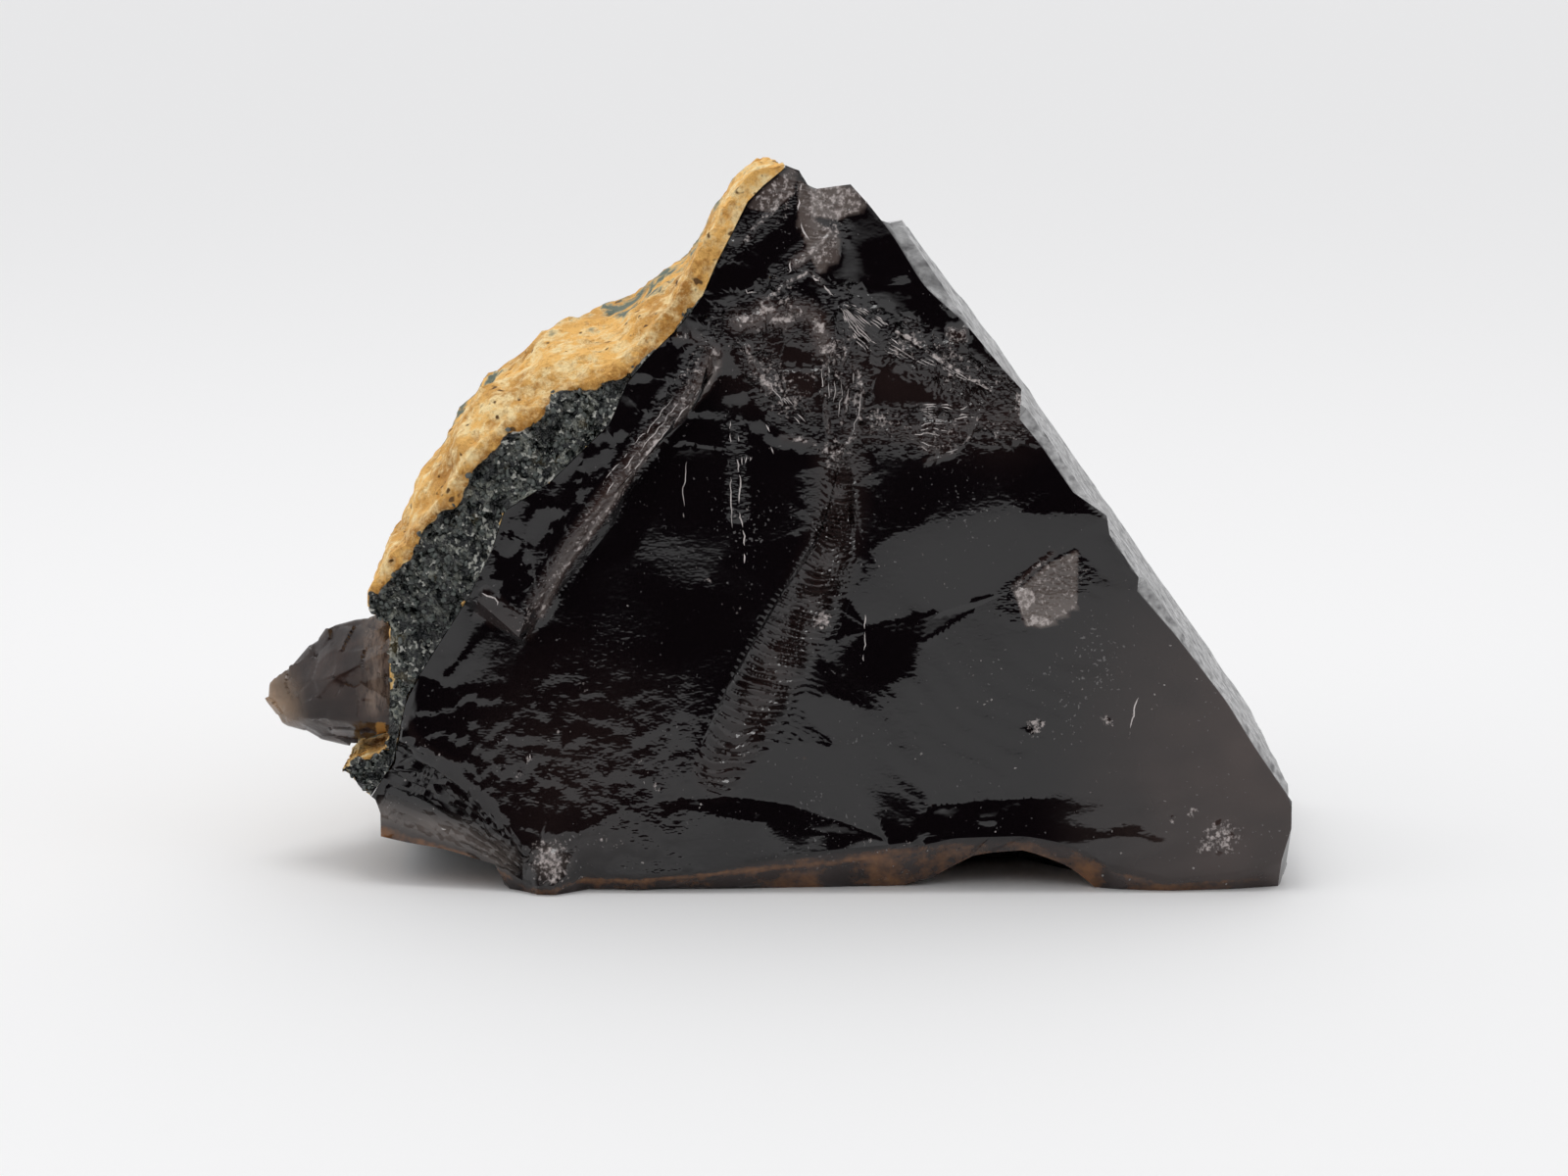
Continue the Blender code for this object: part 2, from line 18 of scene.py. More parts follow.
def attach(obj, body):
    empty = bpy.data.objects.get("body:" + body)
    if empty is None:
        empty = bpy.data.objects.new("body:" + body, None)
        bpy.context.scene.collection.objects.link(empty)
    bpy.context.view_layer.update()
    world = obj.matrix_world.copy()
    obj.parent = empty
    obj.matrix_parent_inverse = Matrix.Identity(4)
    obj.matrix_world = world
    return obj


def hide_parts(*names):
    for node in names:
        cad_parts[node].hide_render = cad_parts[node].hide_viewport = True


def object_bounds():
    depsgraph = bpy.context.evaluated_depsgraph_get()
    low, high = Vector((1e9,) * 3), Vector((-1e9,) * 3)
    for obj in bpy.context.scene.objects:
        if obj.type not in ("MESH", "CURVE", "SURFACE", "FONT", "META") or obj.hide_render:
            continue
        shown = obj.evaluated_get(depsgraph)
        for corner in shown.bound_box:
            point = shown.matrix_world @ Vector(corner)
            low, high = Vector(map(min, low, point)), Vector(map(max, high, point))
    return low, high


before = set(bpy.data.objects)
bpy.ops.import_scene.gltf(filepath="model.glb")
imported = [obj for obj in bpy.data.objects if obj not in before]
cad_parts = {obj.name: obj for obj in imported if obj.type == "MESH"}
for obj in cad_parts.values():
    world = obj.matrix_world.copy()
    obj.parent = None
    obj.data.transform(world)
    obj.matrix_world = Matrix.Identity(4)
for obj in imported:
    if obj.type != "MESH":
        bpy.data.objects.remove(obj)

bl_info = {
    "name": "Morion Specimen Looks",
    "version": (1, 0, 0),
    "blender": (4, 5, 0),
    "location": "View3D > Sidebar > Morion",
    "description": "Builds the broken quartz, the weathered rock and the stage of a morion specimen",
    "category": "Object",
}

MM = 0.001
CAD_LOW, CAD_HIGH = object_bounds()

# The side crystal's tip and the foremost chip fix where the specimen's own origin lies
TIP_X = -50.1
FOREMOST_DEPTH = -0.8
ORIGIN = Vector((CAD_LOW.x - TIP_X * MM, CAD_LOW.y - FOREMOST_DEPTH * MM, CAD_LOW.z))
TO_DRAWING = Matrix.Diagonal((1 / MM, 1 / MM, 1 / MM, 1.0)) @ Matrix.Translation(-ORIGIN)
TO_FRAME = TO_DRAWING.inverted()
BOX_LOW, BOX_HIGH = np.array(TO_DRAWING @ CAD_LOW), np.array(TO_DRAWING @ CAD_HIGH)

# Edges sharper than the first are kept as ridges while a piece is worked, and than the second in its shading
CREASE = math.radians(17.0)
SHARP = math.radians(32.0)

# How near another piece has to be for a seam, and what share of the gap a piece closes
SEAM_REACH = 0.42
SEAM_SHARE = 0.42
SIDE_SEAM_SHARE = 0.5

# How far the worked points stay inside the CAD's box, and how far crumbs and grains keep off it
BOX_INSET = 0.001
CRUMB_MARGIN = 0.5
GRAIN_MARGIN = 0.8

# The quartz's triangles are finest on the broken face, longer on its sides and longest behind
FACE_DEPTH, BACK_DEPTH = 11.0, 16.0
SIDE_EDGE, BACK_EDGE = 1.7, 2.4

RIGHT_FACE_NORMAL = np.array((0.816, -0.023, 0.577))
QUARTZ_IOR = 1.544

FACE_STREAK = (0.05, 0.047, 0.05, 1.0)
DUST = (0.30, 0.29, 0.29, 1.0)
CREAM_SKIN = (0.96, 0.74, 0.38, 1.0)
SKIN_GRIT = (0.34, 0.15, 0.03, 1.0)
SKIN_PIT = (0.12, 0.055, 0.012, 1.0)
BARE_ROCK = (0.16, 0.19, 0.15, 1.0)
ROCK_GRAIN = (0.12, 0.125, 0.11, 1.0)
ROCK_SPECK = (0.46, 0.46, 0.42, 1.0)
ROCK_VEIN = (0.26, 0.27, 0.23, 1.0)
ROCK_GLOSS = (0.006, 0.007, 0.007, 1.0)
ROCK_RUST = (0.16, 0.12, 0.04, 1.0)
SMOKE_VEIL = (0.075, 0.045, 0.036, 1.0)
SMOKE_FIBRE = (0.30, 0.22, 0.17, 1.0)
OCHRE_FILM = (0.50, 0.25, 0.05, 1.0)
PALE_ROOM = (0.97, 0.97, 0.98, 1.0)
DARK_ROOM = (0.012, 0.010, 0.011, 1.0)
BACKDROP = (0.80, 0.80, 0.80, 1.0)

# How light fades inside each crystal: its colour and density
DARK_QUARTZ_DEPTH = ((0.35, 0.22, 0.15, 1.0), 400.0)
SMOKY_QUARTZ_DEPTH = ((0.62, 0.42, 0.30, 1.0), 200.0)

FLOOR_REACH = 12.0
LAMP_PLACE = (-0.06, -0.05, 0.58)
LAMP_SIZE = 0.2
LAMP_ENERGY = 0.55

# The ladder of ribs from its top down, and its half width at each point
LADDER = [
    (5.3, 40.6), (5.2, 36.4), (4.4, 32.0), (2.4, 27.4), (-0.6, 21.9), (-3.4, 16.4), (-6.2, 11.8),
]
LADDER_WIDTHS = [1.5, 1.9, 2.5, 3.4, 3.8, 3.6, 2.4]

# Where the ochre skin ends on the front of the rock, from the peak down to the side crystal
SKIN_FOOT = [
    (-0.5, 68.4), (-2.8, 66.2), (-4.5, 63.6), (-6.1, 61.0), (-8.3, 57.4), (-10.1, 54.5), (-11.7, 51.9),
    (-14.6, 48.7), (-19.2, 47.1), (-23.8, 44.6), (-27.0, 42.0), (-28.4, 39.6), (-30.2, 37.0),
    (-32.9, 35.2), (-34.3, 33.0), (-35.9, 30.3), (-38.0, 27.5),
]

# Crushed and splintered lines: where, half width, how far they stand out, how pale and how much painted glow
STROKES = {
    "crest": (
        [(-4.3, 53.4), (-2.9, 53.2), (-1.7, 54.5), (-0.9, 53.7), (0.0, 53.4), (0.9, 54.3),
         (2.0, 54.1), (2.9, 53.5), (3.6, 51.8), (3.8, 50.6)], 1.05, 0.35, 0.58, 1.25),
    "crest left": ([(-3.3, 50.8), (-2.9, 49.4), (-2.3, 48.4), (-1.3, 47.2)], 0.6, 0.3, 0.56, 0.8),
    "fin one": ([(3.9, 50.1), (3.8, 48.1), (3.8, 46.5), (4.0, 44.4), (4.2, 43.1)], 0.3, 0.35, 0.5, 0.6),
    "fin two": ([(5.3, 51.5), (5.7, 50.6), (5.7, 49.9), (5.4, 49.2)], 0.3, 0.3, 0.5, 0.5),
    "fin three": ([(5.7, 48.1), (5.9, 46.5), (5.7, 45.1), (5.4, 44.0)], 0.32, 0.35, 0.5, 0.6),
    "fin arc": (
        [(6.3, 49.2), (6.9, 48.5), (7.2, 47.5), (7.3, 46.3), (7.1, 45.0), (6.8, 43.3), (6.0, 42.2),
         (5.1, 41.3), (3.8, 41.3)], 0.42, 0.4, 0.52, 0.6),
    "peak flaw": (
        [(-6.4, 59.9), (-4.9, 60.6), (-3.4, 60.8), (-2.7, 62.0), (-2.1, 62.6), (-0.9, 63.6),
         (-0.5, 64.4)], 0.34, 0.22, 0.62, 0.2),
    "ridge line": (
        [(3.5, 56.8), (2.4, 57.9), (0.3, 57.0), (-0.7, 56.0), (-1.8, 55.3)], 0.3, 0.2, 0.55, 0.3),
    "pink streak": ([(4.5, 61.3), (3.3, 60.2), (2.3, 59.6), (1.1, 58.7)], 0.5, 0.25, 0.5, 1.5),
    "bright step": (
        [(10.4, 52.4), (11.5, 52.0), (14.3, 50.0), (16.8, 48.5), (19.3, 47.1)], 0.28, 0.25, 0.6, 0.3),
    "comb": ([(6.4, 43.3), (10.0, 43.5), (14.6, 43.3), (18.2, 44.1), (21.4, 44.7)], 1.3, 0.1, 0.2, 0.5),
    "comb arc": ([(13.2, 40.6), (15.7, 41.3), (17.3, 42.9), (18.2, 45.2)], 0.26, 0.2, 0.4, 0.4),
    "blade edge": (
        [(-6.5, 50.4), (-8.0, 47.6), (-10.6, 44.6), (-13.8, 41.0), (-17.2, 36.4), (-20.4, 31.8),
         (-23.0, 27.4)], 0.85, 0.15, 0.3, 1.3),
    "blade lip": (
        [(-6.1, 49.6), (-7.1, 47.5), (-9.1, 45.2), (-11.7, 42.6), (-14.6, 38.8), (-17.9, 34.1),
         (-20.7, 30.4), (-22.8, 26.2)], 0.4, 0.25, 0.5, 1.7),
    "blade flakes": ([(-10.0, 52.4), (-8.6, 52.0), (-7.1, 51.3), (-6.2, 50.4)], 0.7, 0.3, 0.5, 0.4),
    "crescent": ([(-35.7, 16.6), (-35.0, 15.0), (-33.2, 13.3), (-30.5, 12.2)], 0.35, 0.1, 0.25, 0.3),
    "window edge": ([(21.4, 28.9), (22.7, 30.2), (25.0, 32.2)], 0.3, 0.15, 0.45, 0.8),
    "rainbow chips": ([(-0.1, 42.6), (1.4, 42.4), (2.7, 42.1)], 0.4, 0.2, 0.5, 0.5),
}

# Flat flakes that stand on the broken face: corners, height, slopes along x and z, pale and painted glow.
# A painted glow past one also brings the painted glow of light through thin flakes.
FLAKES = {
    "plateau": (
        [(2.5, 65.6), (4.6, 65.8), (6.5, 65.4), (7.9, 63.8), (5.0, 62.6), (2.6, 63.0)],
        0.1, 0.0, 0.0, 0.42, 2.0),
    "notch flake": (
        [(1.4, 66.2), (2.6, 65.4), (2.8, 62.6), (5.2, 60.8), (5.0, 59.0), (3.2, 57.8), (2.2, 60.2),
         (1.4, 62.5)], 0.1, 0.05, 0.0, 0.25, 1.55),
    "peak veil": (
        [(1.2, 67.6), (-0.4, 67.4), (-3.4, 63.8), (-1.2, 63.4), (0.8, 65.0)], 0.0, 0.0, 0.0, 0.34, 1.4),
    "crest flake": ([(-4.4, 53.3), (-1.9, 54.2), (-1.7, 52.5), (-3.6, 52.3)], 0.15, 0.05, 0.1, 0.22, 0.3),
    "grey facets": ([(-0.3, 48.6), (3.2, 48.8), (2.4, 46.4), (0.4, 46.8)], 0.15, -0.05, 0.1, 0.2, 0.5),
    "grey triangle": ([(10.9, 53.7), (12.6, 53.3), (12.1, 51.9)], 0.2, 0.0, 0.12, 0.25, 0.2),
    "pale flake": ([(15.0, 52.8), (16.9, 52.9), (17.0, 51.6), (15.3, 51.4)], 0.25, 0.05, 0.15, 0.34, 0.5),
    "grey flake": ([(14.3, 51.5), (16.8, 51.3), (17.4, 50.0), (14.6, 49.8)], 0.2, 0.0, 0.18, 0.15, 0.2),
    "lens": (
        [(11.5, 42.9), (13.2, 44.2), (15.3, 44.2), (17.4, 43.0), (15.3, 41.2), (13.2, 41.4)],
        0.12, 0.0, 0.06, 0.2, 0.5),
    "window": (
        [(21.7, 28.4), (24.4, 31.0), (27.2, 32.4), (27.2, 27.2), (24.9, 25.6), (22.6, 25.4)],
        0.06, 0.0, 0.02, 0.26, 1.75),
    "window chip": ([(21.5, 28.6), (23.0, 28.8), (23.4, 27.9), (22.3, 26.4)], 0.16, 0.1, 0.1, 0.5, 2.0),
    "window foot": ([(22.6, 25.4), (23.2, 26.3), (24.6, 26.1), (24.8, 25.5)], 0.14, 0.0, 0.1, 0.52, 2.0),
    "edge chip": ([(21.6, 46.9), (22.8, 46.1), (22.5, 44.4), (21.5, 45.2)], 0.2, 0.1, 0.0, 0.4, 0.5),
    "pane": ([(-27.9, 28.9), (-23.1, 25.8), (-23.9, 23.9), (-29.1, 26.0)], 0.05, 0.0, 0.12, 0.1, 0.4),
}

# Percussion marks: x, z, radius and how pale they are
BRUISES = [
    (3.5, 25.8, 0.95, 0.62), (-18.7, 19.4, 0.6, 0.4), (-23.9, 12.9, 0.5, 0.45), (-24.9, 11.0, 0.55, 0.45),
    (-21.2, 15.3, 0.4, 0.4), (-22.8, 8.6, 0.4, 0.4), (-7.3, 29.4, 0.5, 0.45), (-4.4, 26.6, 0.5, 0.4),
    (-17.0, 5.3, 0.6, 0.42), (-12.0, 10.1, 0.7, 0.42), (-15.5, 4.8, 0.5, 0.4), (23.4, 15.7, 0.95, 0.52),
    (24.2, 16.2, 0.5, 0.5), (30.3, 16.4, 0.75, 0.5), (41.1, 5.4, 1.9, 0.5), (39.6, 4.6, 1.0, 0.5),
    (38.3, 7.8, 0.6, 0.45), (36.4, 7.0, 0.5, 0.42), (11.6, 4.8, 0.5, 0.42), (7.9, 4.9, 0.5, 0.42),
    (32.7, 17.2, 0.35, 0.45), (-22.0, 3.3, 2.3, 0.52), (-21.6, 2.4, 1.6, 0.5), (22.2, 45.6, 0.7, 0.5),
    (-13.6, 12.6, 0.5, 0.4), (-26.7, 22.6, 0.4, 0.4), (3.6, 63.9, 0.8, 0.45), (-1.0, 47.0, 0.6, 0.45),
]

# Hair-thin raised lines with painted glints, on their own: where, and half their thickness
GLINTS = [
    ([(-4.4, 41.2), (-4.1, 38.6), (-4.2, 35.8), (-3.7, 33.5), (-3.9, 30.7)], 0.07),
    ([(-5.0, 44.1), (-4.8, 40.4), (-5.0, 37.2), (-4.8, 33.9)], 0.05),
    ([(-9.1, 40.4), (-9.4, 37.7), (-9.3, 34.9)], 0.04),
    ([(1.5, 65.9), (1.3, 63.9), (1.6, 62.1), (2.3, 60.5)], 0.08),
    ([(0.6, 60.0), (0.5, 58.0), (-0.2, 56.9)], 0.07),
    ([(-3.7, 56.5), (-3.4, 56.0), (-2.4, 55.9)], 0.06),
    ([(2.6, 57.4), (3.5, 56.8), (4.4, 55.8), (5.3, 55.0)], 0.1),
    ([(-1.6, 43.7), (-1.2, 42.8), (-1.1, 41.8), (-1.0, 40.7)], 0.07),
    ([(-0.5, 41.9), (0.7, 41.7), (2.0, 41.1)], 0.08),
    ([(33.0, 18.7), (32.7, 17.0), (32.2, 14.6)], 0.07),
    ([(-28.1, 28.4), (-27.2, 28.2), (-26.6, 27.6), (-26.5, 26.9)], 0.08),
    ([(-23.8, 12.6), (-24.0, 13.6)], 0.06),
    ([(7.4, 31.0), (7.7, 28.0), (7.6, 24.5), (7.4, 20.5)], 0.06),
]

# Sheaves of lines with painted glints: the first, the last, how many, and half their thickness
SHEAVES = [
    ([(5.3, 55.3), (7.3, 54.5), (9.6, 53.1), (12.6, 51.2)],
     [(5.1, 54.8), (5.6, 53.2), (6.8, 51.5), (8.4, 49.9)], 13, 0.055),
    ([(11.4, 46.0), (13.6, 45.8), (15.9, 45.7), (18.4, 46.0)],
     [(11.2, 44.4), (13.7, 44.5), (15.9, 44.2), (18.4, 44.6)], 7, 0.06),
    ([(11.7, 43.3), (13.2, 44.1), (15.3, 44.1), (17.1, 43.5)],
     [(11.7, 42.4), (13.2, 41.6), (15.3, 41.4), (17.1, 42.2)], 6, 0.045),
    ([(-0.5, 48.2), (0.1, 46.8), (0.9, 45.4), (2.0, 44.0), (2.9, 42.3)],
     [(-1.4, 48.4), (-0.9, 47.0), (-0.1, 45.8), (0.7, 44.5), (1.6, 43.4)], 4, 0.055),
    ([(-4.6, 43.6), (-4.2, 42.4), (-4.0, 41.0), (-3.9, 39.8)],
     [(-2.2, 42.8), (-2.8, 41.7), (-3.0, 40.6), (-3.2, 39.4)], 6, 0.05),
    ([(-9.4, 47.6), (-12.4, 44.0), (-16.0, 39.8), (-19.0, 35.6)],
     [(-7.0, 48.2), (-9.6, 45.0), (-13.4, 40.6), (-17.0, 35.6)], 3, 0.05),
    ([(3.6, 50.2), (3.5, 48.1), (3.5, 46.2), (3.8, 43.8)],
     [(6.9, 48.6), (7.2, 46.8), (7.0, 44.8), (6.0, 42.4)], 7, 0.05),
    ([(6.6, 52.6), (9.4, 50.8), (12.2, 49.2)], [(12.0, 51.4), (15.2, 49.2), (19.4, 47.0)], 6, 0.05),
]

# The furrowed fan at the lower left, the broken face's foot, and where its painted rim light is strongest
FAN_TOP = [(-36.9, 15.6), (-34.0, 12.9), (-30.4, 10.4), (-25.8, 5.6), (-23.6, 2.6)]
FAN_FOOT = [(-38.4, 6.6), (-35.1, 5.6), (-31.4, 4.6), (-27.8, 3.2), (-24.1, 1.4)]
FOOT = [
    (-39.0, 6.4), (-30.0, 4.0), (-24.0, 0.8), (-18.4, 1.8), (-13.8, 1.7), (-7.4, 2.2), (-0.9, 3.4),
    (4.6, 4.0), (9.9, 4.6), (16.0, 5.2), (23.0, 5.4), (27.2, 4.6), (31.0, 2.4), (36.0, 1.1), (47.0, 1.6),
]
PAINTED_LIP_LIGHT = [
    (-38.0, 5.2), (-34.2, 4.4), (-30.5, 3.5), (-25.9, 1.6), (-22.2, 1.3), (-16.7, 1.0), (-11.1, 1.4),
    (-5.6, 2.0), (0.0, 2.4), (5.5, 3.0), (9.7, 3.6),
]
PAINTED_CORNER_LIGHT = [(29.1, 3.2), (32.3, 1.8), (37.0, 1.0), (42.5, 1.2), (46.8, 1.8)]

# The bright step and the line under it, the long blade, the rock's vein and the side crystal's film
BRIGHT_STEP = [(5.0, 55.6), (9.1, 53.6), (13.9, 50.6), (19.6, 47.2)]
UNDER_STEP = [(5.0, 52.0), (9.0, 48.8), (13.5, 46.6), (20.6, 45.8)]
BLADE = [(-7.0, 52.0), (-6.5, 49.5), (-22.6, 25.5), (-29.0, 28.0), (-24.0, 37.5), (-14.0, 47.0)]
VEIN_LINE = [(-37.2, 29.5), (-36.7, 24.9), (-36.9, 21.0), (-36.4, 17.3), (-35.9, 13.5)]
FILM_LINE = [(-45.0, 11.2), (-42.0, 11.0), (-39.8, 11.9), (-38.6, 13.2), (-38.2, 15.0)]

# Furrows between two lines: the lines, height, turns, and the size, seed and strength of their sway
FURROWS = [
    (FAN_TOP, FAN_FOOT, 0.16, 40.0, 3.0, 9, 1.0),
    (BRIGHT_STEP, UNDER_STEP, 0.07, 60.0, 2.0, 10, 2.0),
]

# Where the broken face is busy with splinters, and how far to each side
BUSY = [
    [(-5.0, 53.0), (0.0, 54.0), (4.5, 52.5), (6.0, 47.5), (5.4, 41.5)],
    [(-3.0, 50.5), (-0.5, 46.5), (2.5, 43.0)],
    [(5.0, 54.5), (11.0, 51.5), (19.5, 47.0)],
    [(9.0, 43.5), (15.0, 43.5), (21.5, 44.8)],
    [(-6.4, 60.0), (-2.5, 62.0), (0.0, 64.5), (4.0, 64.8)],
    [(4.8, 61.5), (1.5, 58.8), (-1.8, 55.5)],
    [(-7.0, 51.0), (-13.0, 42.0), (-19.0, 33.5), (-23.4, 26.5)],
    [(-4.5, 43.0), (-4.3, 36.0)],
    [(22.0, 27.5), (26.5, 30.0)],
]
BUSY_WIDTHS = [3.4, 2.6, 3.2, 3.2, 2.0, 2.0, 2.0, 1.6, 3.0]


def smooth(share):
    share = np.clip(share, 0.0, 1.0)
    return share * share * (3.0 - 2.0 * share)


def along(places, line):
    """How far down a line each place lies, and how far off it."""
    line = np.array(line, float)
    off = np.full(len(places), 1e9)
    down = np.zeros(len(places))
    passed = 0.0
    for start, end in zip(line, line[1:]):
        run = end - start
        length = np.hypot(*run)
        rel = places - start
        share = np.clip(rel @ run / length ** 2, 0.0, 1.0)
        away = np.linalg.norm(rel - share[:, None] * run, axis=1)
        near = away < off
        off[near] = away[near]
        down[near] = passed + share[near] * length
        passed += length
    return down, off


def stroke(places, line, width):
    """A soft mark along a line: one on it, nothing past its width."""
    return smooth(1.0 - along(places, line)[1] / width)


def spot(places, centre, radius):
    return smooth(1.0 - np.linalg.norm(places - np.array(centre, float), axis=1) / radius)


def above(places, line):
    """How far each place lies straight above a line, or below it if less than nought."""
    line = np.array(sorted(line))
    return places[:, 1] - np.interp(places[:, 0], line[:, 0], line[:, 1])


def inside(places, corners, edge=0.18):
    """One inside an outline, falling to nothing a little way outside it."""
    loop = [*corners, corners[0]]
    within = np.zeros(len(places), bool)
    x, z = places.T
    for (xa, za), (xb, zb) in zip(loop, loop[1:]):
        if za != zb:
            crossing = (za > z) != (zb > z)
            within ^= crossing & (x < xa + (z - za) / (zb - za) * (xb - xa))
    return np.where(within, 1.0, smooth(1.0 - along(places, loop)[1] / edge))


def between(places, first, last):
    """The share of the way across from one line to another."""
    near = along(places, first)[1]
    far = along(places, last)[1]
    return near / np.maximum(near + far, 1e-6)


def to_space(places):
    if places.shape[1] == 3:
        return places
    return np.column_stack([places[:, 0], np.zeros(len(places)), places[:, 1]])


def dice(cells, seed):
    """A repeatable number from nought to one for every whole-numbered cell."""
    x, y, z = cells.astype(np.int64).T
    mixed = (x * 73856093) ^ (y * 19349663) ^ (z * 83492791) ^ (seed * 26544357)
    mixed = ((mixed ^ (mixed >> 13)) * 1274126177) & 0xFFFFFFFF
    mixed = ((mixed ^ (mixed >> 16)) * 668265263) & 0xFFFFFFFF
    return ((mixed ^ (mixed >> 15)) & 0xFFFF) / 65535.0


def waves(places, size, seed):
    """Smooth noise at each place, between minus one and one."""
    at = to_space(places) / size
    cell = np.floor(at)
    share = smooth(at - cell)
    total = np.zeros(len(at))
    for corner in itertools.product((0, 1), repeat=3):
        weight = np.prod(np.where(corner, share, 1.0 - share), axis=1)
        total += weight * dice(cell + corner, seed)
    return total * 2.0 - 1.0


def clear_of_box(places, margin):
    """Which places lie well inside the box that the CAD fills."""
    return ((places > BOX_LOW + margin) & (places < BOX_HIGH - margin)).all(axis=1)


def splinters(places, size, slope, step, seed, stretch=(1.0, 1.0, 1.0), lean=0.0):
    """Small flat chips, each tilted its own way, set at its own height and leaning back a little."""
    at = to_space(places) / (np.array(stretch) * size)
    cell = np.floor(at)
    flat = places.shape[1] == 2
    best = np.full(len(at), 1e9)
    chosen, centre = np.zeros_like(at), np.zeros_like(at)
    for offset in itertools.product((-1, 0, 1), (0,) if flat else (-1, 0, 1), (-1, 0, 1)):
        near = cell + offset
        heart = near + np.column_stack([dice(near, seed + i) for i in range(3)])
        if flat:
            heart[:, 1] = 0.0
        away = ((at - heart) ** 2).sum(axis=1)
        closer = away < best
        best[closer] = away[closer]
        chosen[closer] = near[closer]
        centre[closer] = heart[closer]
    tilt = np.column_stack([dice(chosen, seed + i) for i in (3, 4, 5)]) * 2.0 - 1.0
    height = tilt[:, 2] * step
    tilt[:, 2] -= lean
    return ((at - centre) * tilt).sum(axis=1) * size * slope + height


def edges_of(faces):
    """Every edge once, and which three edges each triangle has."""
    count = faces.max() + 1
    pairs = np.sort(np.stack([faces, np.roll(faces, -1, axis=1)], axis=2), axis=2)
    keys, which = np.unique(pairs[..., 0] * count + pairs[..., 1], return_inverse=True)
    return np.column_stack([keys // count, keys % count]), which.reshape(-1, 3)


def split(faces, middles, places):
    """Triangles cut at the middles of their long edges; a middle below nought is an uncut edge."""
    cut = middles >= 0
    count = cut.sum(axis=1)
    first = np.where(count == 1, cut.argmax(axis=1), (~cut).argmin(axis=1))
    first = np.where(count == 2, ((~cut).argmax(axis=1) + 1) % 3, np.where(count == 1, first, 0))
    turn = (first[:, None] + np.arange(3)) % 3
    (a, b, c), (p, q, r) = (np.take_along_axis(table, turn, axis=1).T for table in (faces, middles))

    def made(which, *corners):
        return np.stack([corner[which] for corner in corners], axis=1)

    one, two, three = (count == number for number in (1, 2, 3))
    short = np.linalg.norm(places[a] - places[q], axis=1) < np.linalg.norm(places[p] - places[c], axis=1)
    return np.concatenate([
        faces[count == 0], made(one, a, p, c), made(one, p, b, c), made(two, p, b, q),
        made(two & short, a, p, q), made(two & short, a, q, c),
        made(two & ~short, a, p, c), made(two & ~short, p, q, c),
        made(three, a, p, r), made(three, p, b, q), made(three, r, q, c), made(three, p, q, r),
    ])


